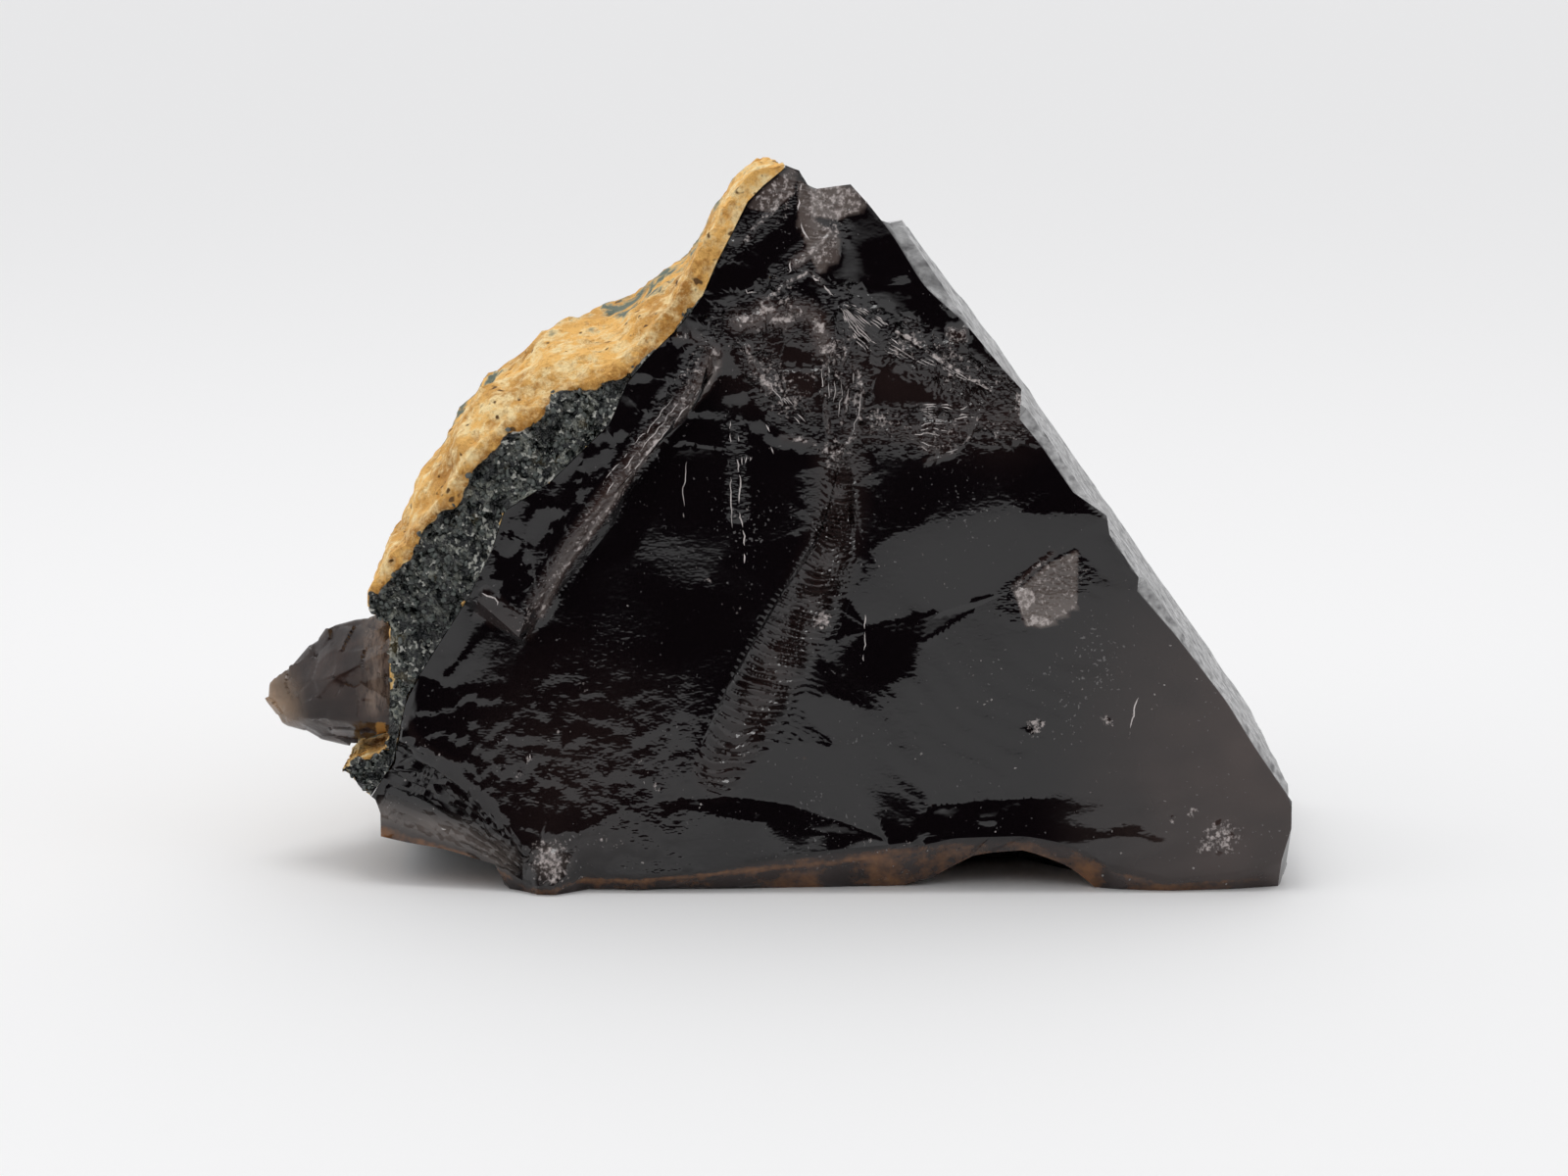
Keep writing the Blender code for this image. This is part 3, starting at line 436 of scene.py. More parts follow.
class Stone:
    """A piece of the specimen while it is being worked: its points in drawing millimetres."""

    def __init__(self, node, size_at):
        """Copies a CAD node and divides its triangles down to the size wanted at each place."""
        bm = bmesh.new()
        bm.from_mesh(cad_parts[node].data)
        bmesh.ops.transform(bm, matrix=TO_DRAWING, verts=bm.verts)
        bmesh.ops.remove_doubles(bm, verts=bm.verts, dist=0.001)
        bmesh.ops.triangulate(bm, faces=bm.faces)
        bmesh.ops.recalc_face_normals(bm, faces=bm.faces)
        bm.verts.index_update()
        self.places = np.array([v.co for v in bm.verts])
        self.faces = np.array([[v.index for v in f.verts] for f in bm.faces])
        sharp = [e for e in bm.edges if e.is_manifold and e.calc_face_angle() > CREASE]
        creases = np.sort(np.array([(e.verts[0].index, e.verts[1].index) for e in sharp]), axis=1)
        bm.free()
        for _ in range(10):
            edges, which = edges_of(self.faces)
            ends = self.places[edges]
            long = np.linalg.norm(ends[:, 0] - ends[:, 1], axis=1) > size_at(ends.mean(axis=1))
            if not long.any():
                break
            middle = np.full(len(edges), -1)
            middle[long] = len(self.places) + np.arange(long.sum())
            creased = self.among(edges, creases)
            halves = creased & long
            creases = np.concatenate([
                edges[creased & ~long],
                np.column_stack([edges[halves, 0], middle[halves]]),
                np.column_stack([edges[halves, 1], middle[halves]]),
            ])
            self.places = np.concatenate([self.places, ends[long].mean(axis=1)])
            self.faces = split(self.faces, middle[which], self.places)
        self.edges = edges_of(self.faces)[0]
        self.creased = self.among(self.edges, creases)
        self.masks = {}
        self.turn_normals()

    def among(self, edges, chosen):
        """Which of the edges are chosen ones."""
        count = len(self.places) + 1
        return np.isin(edges[:, 0] * count + edges[:, 1], chosen[:, 0] * count + chosen[:, 1])

    @property
    def face(self):
        """Where each point lies on the broken face."""
        return self.places[:, [0, 2]]

    def crisp(self):
        """Which points lie on a creased edge."""
        marks = np.zeros(len(self.places), bool)
        marks[self.edges[self.creased].ravel()] = True
        return marks

    def relax(self, loose, rounds, share, edges=None, axes=(0, 1, 2)):
        """Draws the loose points towards the middle of their neighbours."""
        edges = self.edges if edges is None else edges
        count = np.maximum(np.bincount(edges.ravel(), minlength=len(self.places)), 1)
        a, b = edges.T
        for _ in range(rounds):
            for axis in axes:
                value = self.places[:, axis]
                total = np.bincount(a, value[b], len(value)) + np.bincount(b, value[a], len(value))
                value[loose] += share * (total / count - value)[loose]

    def turn_normals(self):
        corners = self.places[self.faces]
        flat = np.cross(corners[:, 1] - corners[:, 0], corners[:, 2] - corners[:, 0])
        total = np.zeros_like(self.places)
        for i in range(3):
            np.add.at(total, self.faces[:, i], flat)
        self.normals = total / np.maximum(np.linalg.norm(total, axis=1, keepdims=True), 1e-12)

    def close_seam(self, others, share):
        """Moves the points that face another piece across part of the gap, and tells which they are."""
        met = np.zeros(len(self.places), bool)
        for other in others:
            bm = bmesh.new()
            bm.from_mesh(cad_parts[other].data)
            bmesh.ops.transform(bm, matrix=TO_DRAWING, verts=bm.verts)
            tree = BVHTree.FromBMesh(bm)
            bm.free()
            for i, place in enumerate(self.places):
                near = tree.find_nearest(Vector(place), SEAM_REACH)[0]
                if near is not None:
                    self.places[i] += (np.array(near) - place) * share
                    met[i] = True
        return met

    def finish(self, name, materials):
        """The worked points, kept inside the CAD's box, as a named object with its masks as attributes."""
        mesh = bpy.data.meshes.new(name)
        kept = np.clip(self.places, BOX_LOW + (BOX_INSET, BOX_INSET, 0.0), BOX_HIGH - BOX_INSET)
        mesh.from_pydata(kept.tolist(), [], self.faces.tolist())
        mesh.transform(TO_FRAME)
        for material in materials:
            mesh.materials.append(material)
        for key, values in self.masks.items():
            layer = mesh.attributes.new(key, "FLOAT", "POINT")
            layer.data.foreach_set("value", np.clip(values, 0.0, 1.0).astype(np.float32))
        mesh.shade_smooth()
        mesh.set_sharp_from_angle(angle=SHARP)
        mesh.update()
        piece = bpy.data.objects.new(name, mesh)
        bpy.context.scene.collection.objects.link(piece)
        return piece


def hand_over(piece, node=None):
    """Makes a piece move with the root, and hides the CAD node that it stands for."""
    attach(piece, "root")
    if node:
        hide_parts(node)


class Tree:
    """Short ways to add nodes to a material, a world or a group, and to wire them."""

    def __init__(self, tree):
        self.tree = tree

    def add(self, kind, values=(), **settings):
        made = self.tree.nodes.new(kind)
        for key, value in settings.items():
            setattr(made, key, value)
        for key, value in dict(values).items():
            self.feed(made.inputs[key], value)
        return made

    def feed(self, socket, value):
        if isinstance(value, bpy.types.NodeSocket):
            self.tree.links.new(value, socket)
        else:
            socket.default_value = value

    def math(self, operation, a, b=0.0, clamp=False):
        made = self.add("ShaderNodeMath", {0: a, 1: b}, operation=operation, use_clamp=clamp)
        return made.outputs[0]

    def mix(self, share, a, b):
        made = self.add("ShaderNodeMix", data_type="RGBA")
        for socket, value in zip((made.inputs[0], made.inputs[6], made.inputs[7]), (share, a, b)):
            self.feed(socket, value)
        return made.outputs[2]

    def ramp(self, value, low, high, to_low=0.0, to_high=1.0):
        made = self.add("ShaderNodeMapRange", {0: value, 1: low, 2: high, 3: to_low, 4: to_high})
        return made.outputs[0]

    def noise(self, place, scale, detail=3.0, roughness=0.55, distortion=0.0):
        values = {"Vector": place, "Scale": scale, "Detail": detail, "Roughness": roughness}
        made = self.add("ShaderNodeTexNoise", {**values, "Distortion": distortion})
        return made.outputs[0]

    def stretched(self, place, scale):
        made = self.add("ShaderNodeVectorMath", {0: place, 1: scale}, operation="MULTIPLY")
        return made.outputs[0]

    def attribute(self, name):
        return self.add("ShaderNodeAttribute", attribute_name=name).outputs["Fac"]

    def place(self):
        return self.add("ShaderNodeTexCoord").outputs["Object"]

    def bump(self, height, strength, distance):
        values = {"Height": height, "Strength": strength, "Distance": distance}
        return self.add("ShaderNodeBump", values).outputs[0]

    def named(self, name):
        """A mesh attribute, inside a Geometry Nodes tree."""
        made = self.add("GeometryNodeInputNamedAttribute", {"Name": name}, data_type="FLOAT")
        return made.outputs[0]

    def wander(self, place, scale, detail, reach):
        """An offset in any direction, by up to half the reach along each axis."""
        noise = self.add("ShaderNodeTexNoise", {"Vector": place, "Scale": scale, "Detail": detail})
        values = {0: noise.outputs["Color"], 1: (0.5, 0.5, 0.5)}
        centred = self.add("ShaderNodeVectorMath", values, operation="SUBTRACT").outputs[0]
        values = {0: centred, "Scale": reach}
        return self.add("ShaderNodeVectorMath", values, operation="SCALE").outputs[0]

    def end(self, socket, geometry, material):
        """Ends a Geometry Nodes tree with real geometry that has its material."""
        solid = self.add("GeometryNodeRealizeInstances", {0: geometry}).outputs[0]
        values = {"Geometry": solid, "Material": material}
        self.feed(socket, self.add("GeometryNodeSetMaterial", values).outputs[0])


def group_of(name, kind, inputs, outputs):
    """A new node group with its sockets, and the tree helper, input and output nodes inside it."""
    group = bpy.data.node_groups.new(name, kind)
    for label, (socket, value) in inputs.items():
        made = group.interface.new_socket(label, in_out="INPUT", socket_type=socket)
        if value is not None:
            made.default_value = value
    for label, socket in outputs.items():
        group.interface.new_socket(label, in_out="OUTPUT", socket_type=socket)
    tree = Tree(group)
    return group, tree, tree.add("NodeGroupInput").outputs, tree.add("NodeGroupOutput").inputs


def grown(name, group, values, start=None):
    """The mesh that a Geometry Nodes tree makes, as a plain object."""
    holder = bpy.data.objects.new(name, start or bpy.data.meshes.new(name))
    modifier = holder.modifiers.new(name, "NODES")
    modifier.node_group = group
    for item in group.interface.items_tree:
        if item.in_out == "INPUT" and item.name in values:
            modifier[item.identifier] = values[item.name]
    # Linked only once its inputs are set, so that it is never worked out without them
    bpy.context.scene.collection.objects.link(holder)
    graph = bpy.context.evaluated_depsgraph_get()
    graph.update()
    mesh = bpy.data.meshes.new_from_object(holder.evaluated_get(graph), depsgraph=graph)
    holder.modifiers.clear()
    holder.data = mesh
    mesh.name = name
    return holder


def material_of(name):
    """A new material, its tree helper and its Principled shader."""
    material = bpy.data.materials.new(name)
    material.use_nodes = True
    return material, Tree(material.node_tree), material.node_tree.nodes["Principled BSDF"]


def absorb(material, tree, tint, density):
    """Makes light fade on its way through a clear stone."""
    depth = tree.add("ShaderNodeVolumeAbsorption", {"Color": tint, "Density": density})
    tree.feed(material.node_tree.nodes["Material Output"].inputs["Volume"], depth.outputs[0])


def colour(rgb):
    return (*rgb, 1.0)


def ragged_group():
    """Turns a soft mask into a ragged one, eaten away by fine noise."""
    group = bpy.data.node_groups.get("ragged_mask")
    if group:
        return group
    number = "NodeSocketFloat"
    group, tree, given, out = group_of("ragged_mask", "ShaderNodeTree", {
        "Place": ("NodeSocketVector", None), "Mask": (number, 0.0), "Scale": (number, 1200.0),
        "Reach": (number, 1.0), "Edge": (number, 0.12),
    }, {"Mask": number})
    fine = tree.noise(given["Place"], given["Scale"], 2.0, 0.65)
    eaten = tree.math("MULTIPLY", tree.math("SUBTRACT", fine, 0.5), given["Reach"])
    level = tree.math("ADD", given["Mask"], eaten)
    low = tree.math("SUBTRACT", 0.5, given["Edge"])
    high = tree.math("ADD", 0.5, given["Edge"])
    tree.feed(out["Mask"], tree.ramp(level, low, high))
    return group


def ragged(tree, place, mask, scale, reach=1.0, edge=0.12):
    made = tree.add("ShaderNodeGroup", node_tree=ragged_group())
    for key, value in zip(("Place", "Mask", "Scale", "Reach", "Edge"), (place, mask, scale, reach, edge)):
        tree.feed(made.inputs[key], value)
    return made.outputs["Mask"]


def specks_group():
    """Tiny irregular specks that gather in drifts: dust and crumbs of stone."""
    group = bpy.data.node_groups.get("stone_specks")
    if group:
        return group
    number = "NodeSocketFloat"
    group, tree, given, out = group_of("stone_specks", "ShaderNodeTree", {
        "Place": ("NodeSocketVector", None), "Scale": (number, 1500.0), "Amount": (number, 0.3),
        "Drift": (number, 120.0),
    }, {"Specks": number})
    fine = tree.noise(given["Place"], given["Scale"], 1.0, 0.5)
    drift = tree.noise(given["Place"], given["Drift"], 1.0, 0.6)
    level = tree.math("ADD", fine, tree.math("MULTIPLY", drift, 0.35))
    level = tree.math("ADD", level, tree.math("MULTIPLY", given["Amount"], 0.2))
    tree.feed(out["Specks"], tree.ramp(level, 0.93, 0.97))
    return group


def specks(tree, place, scale, amount, drift=120.0):
    made = tree.add("ShaderNodeGroup", node_tree=specks_group())
    for key, value in zip(("Place", "Scale", "Amount", "Drift"), (place, scale, amount, drift)):
        tree.feed(made.inputs[key], value)
    return made.outputs["Specks"]


def colour_prop(label, about, default):
    return FloatVectorProperty(
        name=label, description=about, subtype="COLOR", size=3, min=0.0, max=1.0, default=default
    )


def length_prop(label, about, millimetres):
    return FloatProperty(
        name=label, description=about, default=millimetres * MM, min=0.0, unit="LENGTH", precision=5
    )


class QuartzLooks(bpy.types.PropertyGroup):
    """Sizes and colours of the black quartz."""

    body: colour_prop("Body colour", "Colour of the near-black quartz", (0.0035, 0.0022, 0.003))
    # The haze colour is a painted brown glow of light that gets into the thin quartz
    haze: colour_prop("Haze colour", "Colour where light gets into the quartz", (0.042, 0.024, 0.021))
    # The milky colour is a painted glow of light through thin flakes
    milk: colour_prop("Milky colour", "Colour of thin flakes that let light through", (0.19, 0.16, 0.145))
    chip: colour_prop("Chip colour", "Colour of crushed and chipped quartz", (0.60, 0.53, 0.51))
    # The face colour's grey is partly the face's own etched colour and partly a painted reflection of the
    # pale surround
    skin: colour_prop("Face colour", "Colour of the natural crystal face", (0.31, 0.31, 0.31))
    # The rim colour is a painted orange-brown reflection and glow of light under the front edge
    rim: colour_prop("Rim colour", "Colour of the stained rim underneath", (0.22, 0.095, 0.035))
    rib_pitch: length_prop("Rib pitch", "Distance between the ladder's ribs", 0.95)
    rib_height: length_prop("Rib height", "Height of the ladder's ribs", 0.19)
    detail: length_prop("Detail", "Longest triangle edge on the open face", 0.75)


class GlintLooks(bpy.types.PropertyGroup):
    """The hair-thin lines of the broken face, made bright by a painted glint in their tint."""

    spacing: length_prop("Spacing", "Length of a line's segments", 0.28)
    jitter: length_prop("Jitter", "How far a line strays", 0.75)
    gaps: FloatProperty(
        name="Gaps", description="Share of each line that is broken away", default=0.47, min=0.0, max=1.0
    )
    # A pale tint: partly the whiteness of cracks, partly a painted glint
    tint: colour_prop("Tint", "Colour of the bright lines", (0.80, 0.73, 0.71))


class ChipLooks(bpy.types.PropertyGroup):
    """The crumbs that cling to the quartz."""

    density: FloatProperty(
        name="Density", description="Crumbs to the square metre", default=260000.0, min=0.0
    )
    size: length_prop("Size", "Size of a crumb", 0.13)
    seed: IntProperty(name="Seed", description="Which scatter is made", default=4, min=0)
    tint: colour_prop("Tint", "Colour of the crumbs", (0.40, 0.37, 0.36))


class RockLooks(bpy.types.PropertyGroup):
    """Sizes and colours of the rock."""

    ochre: colour_prop("Ochre skin", "Colour of the weathered skin", (0.90, 0.52, 0.15))
    deep: colour_prop("Deep ochre", "Colour of the skin's hollows and its foot", (0.40, 0.17, 0.025))
    dark: colour_prop("Dark rock", "Colour of the fresh granular rock", (0.006, 0.008, 0.009))
    detail: length_prop("Detail", "Longest triangle edge on the rock", 0.5)


class GrainLooks(bpy.types.PropertyGroup):
    """The mineral grains of the fresh rock."""

    density: FloatProperty(
        name="Density", description="Grains to the square metre", default=1500000.0, min=0.0
    )
    size: length_prop("Size", "Size of a grain", 0.3)
    seed: IntProperty(name="Seed", description="Which scatter is made", default=7, min=0)
    tint: colour_prop("Tint", "Colour of the pale grains", (0.10, 0.115, 0.105))


class SideLooks(bpy.types.PropertyGroup):
    """Colours of the small smoky crystal."""

    smoke: colour_prop("Smoke colour", "Colour of the smoky crystal", (0.024, 0.012, 0.010))
    tip: colour_prop("Tip colour", "Colour of its pale tip", (0.52, 0.35, 0.22))
    detail: length_prop("Detail", "Longest triangle edge on the small crystal", 0.34)


class StageLooks(bpy.types.PropertyGroup):
    """The floor and the camera."""

    floor: colour_prop("Floor colour", "Colour of the plain floor", (0.885, 0.885, 0.885))
    elevation: FloatProperty(
        name="Camera elevation", description="How far the camera looks down",
        default=math.radians(11.0), subtype="ANGLE",
    )
    distance: length_prop("Camera distance", "From the camera to the specimen", 301.7)
    aim_height: length_prop("Aim height", "Height of the point at the picture's centre", 29.4)


def quartz_material(looks):
    """Near-black glossy quartz with painted glows of light, pale chips, a natural face and painted rim
    light.
    """
    material, tree, shader = material_of("morion_quartz")
    place = tree.place()
    broad = tree.noise(place, 160, 1)
    # A painted brown glow of light in the quartz, varied by broad noise
    haze = tree.math("MULTIPLY", tree.attribute("haze"), tree.ramp(broad, 0.25, 0.7, 0.5, 1.1))
    pale = ragged(tree, place, tree.attribute("pale"), 2300, 1.5, 0.16)
    dust = tree.math("MULTIPLY", specks(tree, place, 3000, 0.0), 0.35)
    skin = tree.attribute("skin")
    mottle = tree.noise(tree.stretched(place, (1.0, 1.0, 3.2)), 420, 2, 0.6)
    # The natural face: grey partly painted reflection of the pale surround, streaked darker at random
    natural = tree.mix(tree.ramp(mottle, 0.36, 0.72), colour(looks.skin), FACE_STREAK)
    base = tree.mix(haze, colour(looks.body), colour(looks.haze))
    # Painted glow of light through thin flakes, varied by broad noise
    milk = tree.math("MULTIPLY", tree.attribute("milk"), tree.ramp(broad, 0.3, 0.65, 0.55, 1.0))
    base = tree.mix(milk, base, colour(looks.milk))
    base = tree.mix(tree.math("MULTIPLY", pale, 0.85), base, colour(looks.chip))
    base = tree.mix(dust, base, DUST)
    base = tree.mix(skin, base, natural)
    # Painted orange-brown reflection and glow on the underside rim
    rim = ragged(tree, place, tree.attribute("rim"), 800, 0.9, 0.25)
    base = tree.mix(rim, base, colour(looks.rim))
    rough = tree.ramp(broad, 0.3, 0.7, 0.03, 0.10)
    rough = tree.math("ADD", rough, tree.math("MULTIPLY", skin, tree.ramp(mottle, 0.3, 0.7, 0.18, 0.42)))
    rough = tree.math("ADD", rough, tree.math("MULTIPLY", pale, 0.25), True)
    tree.feed(shader.inputs["Base Color"], base)
    tree.feed(shader.inputs["Roughness"], rough)
    shader.inputs["Metallic"].default_value = 0.0
    shader.inputs["IOR"].default_value = QUARTZ_IOR
    shader.inputs["Transmission Weight"].default_value = 0.1
    crushed = tree.noise(tree.stretched(place, (1.0, 1.0, 1.8)), 1300, 1, 0.6)
    depth = tree.math("ADD", tree.math("MULTIPLY", tree.attribute("broken"), 3.0), 0.18)
    fine = tree.math("MULTIPLY", crushed, depth)
    fine = tree.math("ADD", fine, tree.math("MULTIPLY", mottle, tree.math("MULTIPLY", skin, 1.6)))
    tree.feed(shader.inputs["Normal"], tree.bump(fine, 0.3, 0.0002))
    absorb(material, tree, *DARK_QUARTZ_DEPTH)
    return material


def plain_quartz(name, tint, roughness):
    """Broken quartz bright enough to catch the eye, for lines and crumbs; on the lines that brightness is
    partly a painted glint.
    """
    material, tree, shader = material_of(name)
    place = tree.place()
    shade = tree.ramp(tree.noise(place, 500, 3, 0.6), 0.3, 0.7, 0.0, 1.0)
    deep = colour(0.35 * part for part in tint)
    tree.feed(shader.inputs["Base Color"], tree.mix(shade, deep, colour(tint)))
    shader.inputs["Roughness"].default_value = roughness
    shader.inputs["Metallic"].default_value = 0.0
    shader.inputs["IOR"].default_value = QUARTZ_IOR
    return material


def rock_material(looks):
    """Dark granular rock under a powdery ochre skin."""
    material, tree, shader = material_of("weathered_rock")
    place = tree.place()
    grain = tree.noise(place, 1300, 3, 0.7)
    broad = tree.noise(place, 130, 3, 0.65)
    skin = tree.mix(tree.ramp(broad, 0.44, 0.70, 0.0, 0.9), colour(looks.ochre), colour(looks.deep))
    skin = tree.mix(tree.ramp(tree.noise(place, 500, 3, 0.7), 0.46, 0.62), skin, CREAM_SKIN)
    skin = tree.mix(tree.ramp(grain, 0.52, 0.72, 0.0, 0.6), skin, SKIN_GRIT)
    foot = tree.math("MULTIPLY", tree.attribute("foot"), tree.ramp(grain, 0.3, 0.6))
    skin = tree.mix(foot, skin, colour(looks.deep))
    pits = tree.ramp(tree.noise(place, 950, 1, 0.6), 0.68, 0.74)
    skin = tree.mix(pits, skin, SKIN_PIT)
    bare = ragged(tree, place, tree.attribute("bare"), 500, 1.4, 0.1)
    skin = tree.mix(bare, skin, BARE_ROCK)
    fresh = tree.mix(tree.ramp(grain, 0.50, 0.62), colour(looks.dark), ROCK_GRAIN)
    fresh = tree.mix(specks(tree, place, 1900, 0.75, 200.0), fresh, ROCK_SPECK)
    veins = tree.math("MULTIPLY", tree.attribute("vein"), tree.ramp(grain, 0.45, 0.6))
    fresh = tree.mix(veins, fresh, ROCK_VEIN)
    patch = tree.noise(place, 240, 2, 0.7)
    fresh = tree.mix(tree.ramp(patch, 0.46, 0.38, 0.0, 0.9), fresh, ROCK_GLOSS)
    fresh = tree.mix(tree.ramp(patch, 0.60, 0.70, 0.0, 0.4), fresh, ROCK_RUST)
    mask = ragged(tree, place, tree.attribute("ochre"), 700, 0.7, 0.06)
    tree.feed(shader.inputs["Base Color"], tree.mix(mask, fresh, skin))
    tree.feed(shader.inputs["Roughness"], tree.ramp(mask, 0.0, 1.0, 0.24, 0.92))
    shader.inputs["Metallic"].default_value = 0.0
    height = tree.math("ADD", grain, tree.noise(place, 3000, 1, 0.7))
    tree.feed(shader.inputs["Normal"], tree.bump(height, 0.6, 0.0005))
    return material


def smoky_material(looks):
    """Translucent smoky quartz with a pale tip, a fibrous band and an ochre film at its root."""
    material, tree, shader = material_of("smoky_quartz")
    place = tree.place()
    veil = tree.noise(place, 300, 5, 0.65, 0.6)
    fibre = tree.noise(tree.stretched(place, (3.0, 1.0, 0.8)), 500, 4, 0.65)
    base = tree.mix(tree.ramp(veil, 0.42, 0.75), colour(looks.smoke), SMOKE_VEIL)
    band = tree.math("MULTIPLY", tree.attribute("band"), tree.ramp(fibre, 0.35, 0.6))
    base = tree.mix(band, base, SMOKE_FIBRE)
    tip = tree.math("MULTIPLY", tree.attribute("tip"), tree.ramp(veil, 0.3, 0.6, 0.5, 1.0))
    base = tree.mix(tip, base, colour(looks.tip))
    film = ragged(tree, place, tree.attribute("film"), 1200, 1.2, 0.08)
    base = tree.mix(film, base, OCHRE_FILM)
    tree.feed(shader.inputs["Base Color"], base)
    tree.feed(shader.inputs["Roughness"], tree.ramp(film, 0.0, 1.0, 0.2, 0.85))
    shader.inputs["Metallic"].default_value = 0.0
    shader.inputs["IOR"].default_value = QUARTZ_IOR
    shader.inputs["Transmission Weight"].default_value = 0.4
    shader.inputs["Specular IOR Level"].default_value = 0.28
    tree.feed(shader.inputs["Normal"], tree.bump(tree.math("ADD", veil, fibre), 0.25, 0.0003))
    absorb(material, tree, *SMOKY_QUARTZ_DEPTH)
    return material


def busy_mask(face):
    return np.maximum.reduce([stroke(face, line, width) for line, width in zip(BUSY, BUSY_WIDTHS)])


def face_size(detail):
    """How long a triangle's edge may be at each place on the quartz."""
    def size_at(places):
        size = np.full(len(places), SIDE_EDGE)
        front = np.flatnonzero(places[:, 1] < FACE_DEPTH)
        face = places[front][:, [0, 2]]
        fine = np.where(busy_mask(face) > 0.02, detail * 0.44, detail)
        ribbed = stroke(face, LADDER, 4.2) > 0.05
        size[front] = np.where(ribbed, detail * 0.36, fine)
        size[places[:, 1] > BACK_DEPTH] = BACK_EDGE
        return size
    return size_at


def ladder_relief(face, looks):
    """Fine ribs that sag across the ladder, each with a sharp crest."""
    down, off = along(face, LADDER)
    marks = np.cumsum([0.0, *np.hypot(*np.diff(np.array(LADDER), axis=0).T)])
    share = np.clip(off / np.interp(down, marks, LADDER_WIDTHS), 0.0, 1.0)
    pitch = looks.rib_pitch / MM * np.interp(down, marks, [0.7, 0.72, 0.78, 0.85, 0.95, 1.05, 1.05])
    rise = face[:, 1] - 0.9 * share ** 2 + waves(face, 2.4, 3) * 0.45 + 0.12 * face[:, 0]
    turn = rise / pitch % 1.0
    wave = np.where(turn < 0.7, turn / 0.7, (1.0 - turn) / 0.3) - 0.5
    uneven = 0.75 + 0.5 * waves(face, 1.3, 12)
    return wave * 2.0 * (looks.rib_height / MM) * smooth((1.0 - share) * 2.6) * uneven


def add_marks(stone, on, relief):
    """Presses the named lines, flakes and percussion marks into the broken face."""
    spread = stone.face[on]
    pale, haze = np.zeros(len(spread)), np.zeros(len(spread))
    for line, width, rise, pale_share, painted_glow_share in STROKES.values():
        mark = stroke(spread, line, width)
        jag = 0.6 + 0.8 * np.abs(waves(spread, 0.6, 21))
        relief[on] += rise * mark * jag
        wide = stroke(spread, line, width * 1.7)
        crumbly = 0.62 + 0.75 * waves(spread, 0.5, 26)
        pale = np.maximum(pale, pale_share * np.sqrt(mark) * crumbly)
        haze = np.maximum(haze, painted_glow_share * wide)
    for corners, rise, slope_x, slope_z, pale_share, painted_glow_share in FLAKES.values():
        mark = inside(spread, corners)
        middle = np.mean(corners, axis=0)
        tilt = (spread - middle) @ np.array((slope_x, slope_z))
        relief[on] += mark * (rise + tilt)
        pale = np.maximum(pale, pale_share * mark)
        haze = np.maximum(haze, painted_glow_share * mark)
    for x, z, radius, pale_share in BRUISES:
        mark = spot(spread, (x, z), radius * 1.25)
        near = np.flatnonzero(mark > 0.0)
        relief[on[near]] += mark[near] * splinters(spread[near], radius * 0.6, 0.5, 0.1 * radius, 31)
        pale = np.maximum(pale, pale_share * np.sqrt(mark))
    return pale, haze


def broken_relief(stone, on, looks):
    """The height of everything finer than the ridges, outward from the broken face."""
    relief = np.zeros(len(stone.places))
    spread = stone.face[on]
    busy = busy_mask(spread)

    def press(mask, height_of):
        near = np.flatnonzero(mask > 0.01)
        relief[on[near]] += mask[near] * height_of(spread[near])

    press(stroke(spread, LADDER, 4.6) > 0, lambda p: ladder_relief(p, looks))
    calm = 1.0 - np.clip(busy, 0.0, 1.0)
    relief[on] += waves(spread, 7.0, 1) * 0.035 * calm + waves(spread, 2.6, 2) * 0.008
    relief[on] -= 0.06 * (spread[:, 1] - 38.0) * spot(spread, (-6.0, 38.0), 11.0)
    mottled = smooth((26.0 - spread[:, 1]) / 12.0) * smooth((-4.0 - spread[:, 0]) / 10.0)
    press(mottled * calm, lambda p: splinters(p, 1.3, 0.03, 0.004, 2, (1.0, 1.0, 1.4), lean=2.0))
    top = smooth((spread[:, 1] - 40.0) / 3.0) * smooth((60.0 - spread[:, 1]) / 4.0)
    press(top * smooth(busy * 2.0), lambda p: splinters(p, 2.1, 0.13, 0.10, 5, lean=0.8))
    press(top * smooth(busy * 2.0), lambda p: splinters(p, 0.9, 0.11, 0.04, 6, lean=0.4))
    press(0.6 * top * calm, lambda p: splinters(p, 3.0, 0.05, 0.02, 7, lean=2.0))
    comb = stroke(spread, [(8.0, 43.6), (14.6, 43.8), (21.4, 45.0)], 3.0)
    press(comb, lambda p: splinters(p, 0.55, 0.35, 0.05, 8, (7.0, 1.0, 1.0)))
    for first, last, height, turns, size, seed, sway in FURROWS:
        bed = inside(spread, [*first, *last[::-1]], 0.6)
        press(bed, lambda p: height * np.sin(between(p, first, last) * turns + waves(p, size, seed) * sway))
    press(inside(spread, BLADE), lambda p: splinters(p, 2.6, 0.10, 0.05, 11, (1.0, 1.0, 1.8)))
    rings = np.hypot(spread[:, 0] - 30.0, spread[:, 1] - 33.0)
    plain = smooth((26.0 - spread[:, 1]) / 6.0) * smooth((spread[:, 0] - 6.0) / 6.0)
    relief[on] += plain * 0.012 * np.sin(rings * 2.6 + waves(spread, 6.0, 13) * 2.0)
    return relief


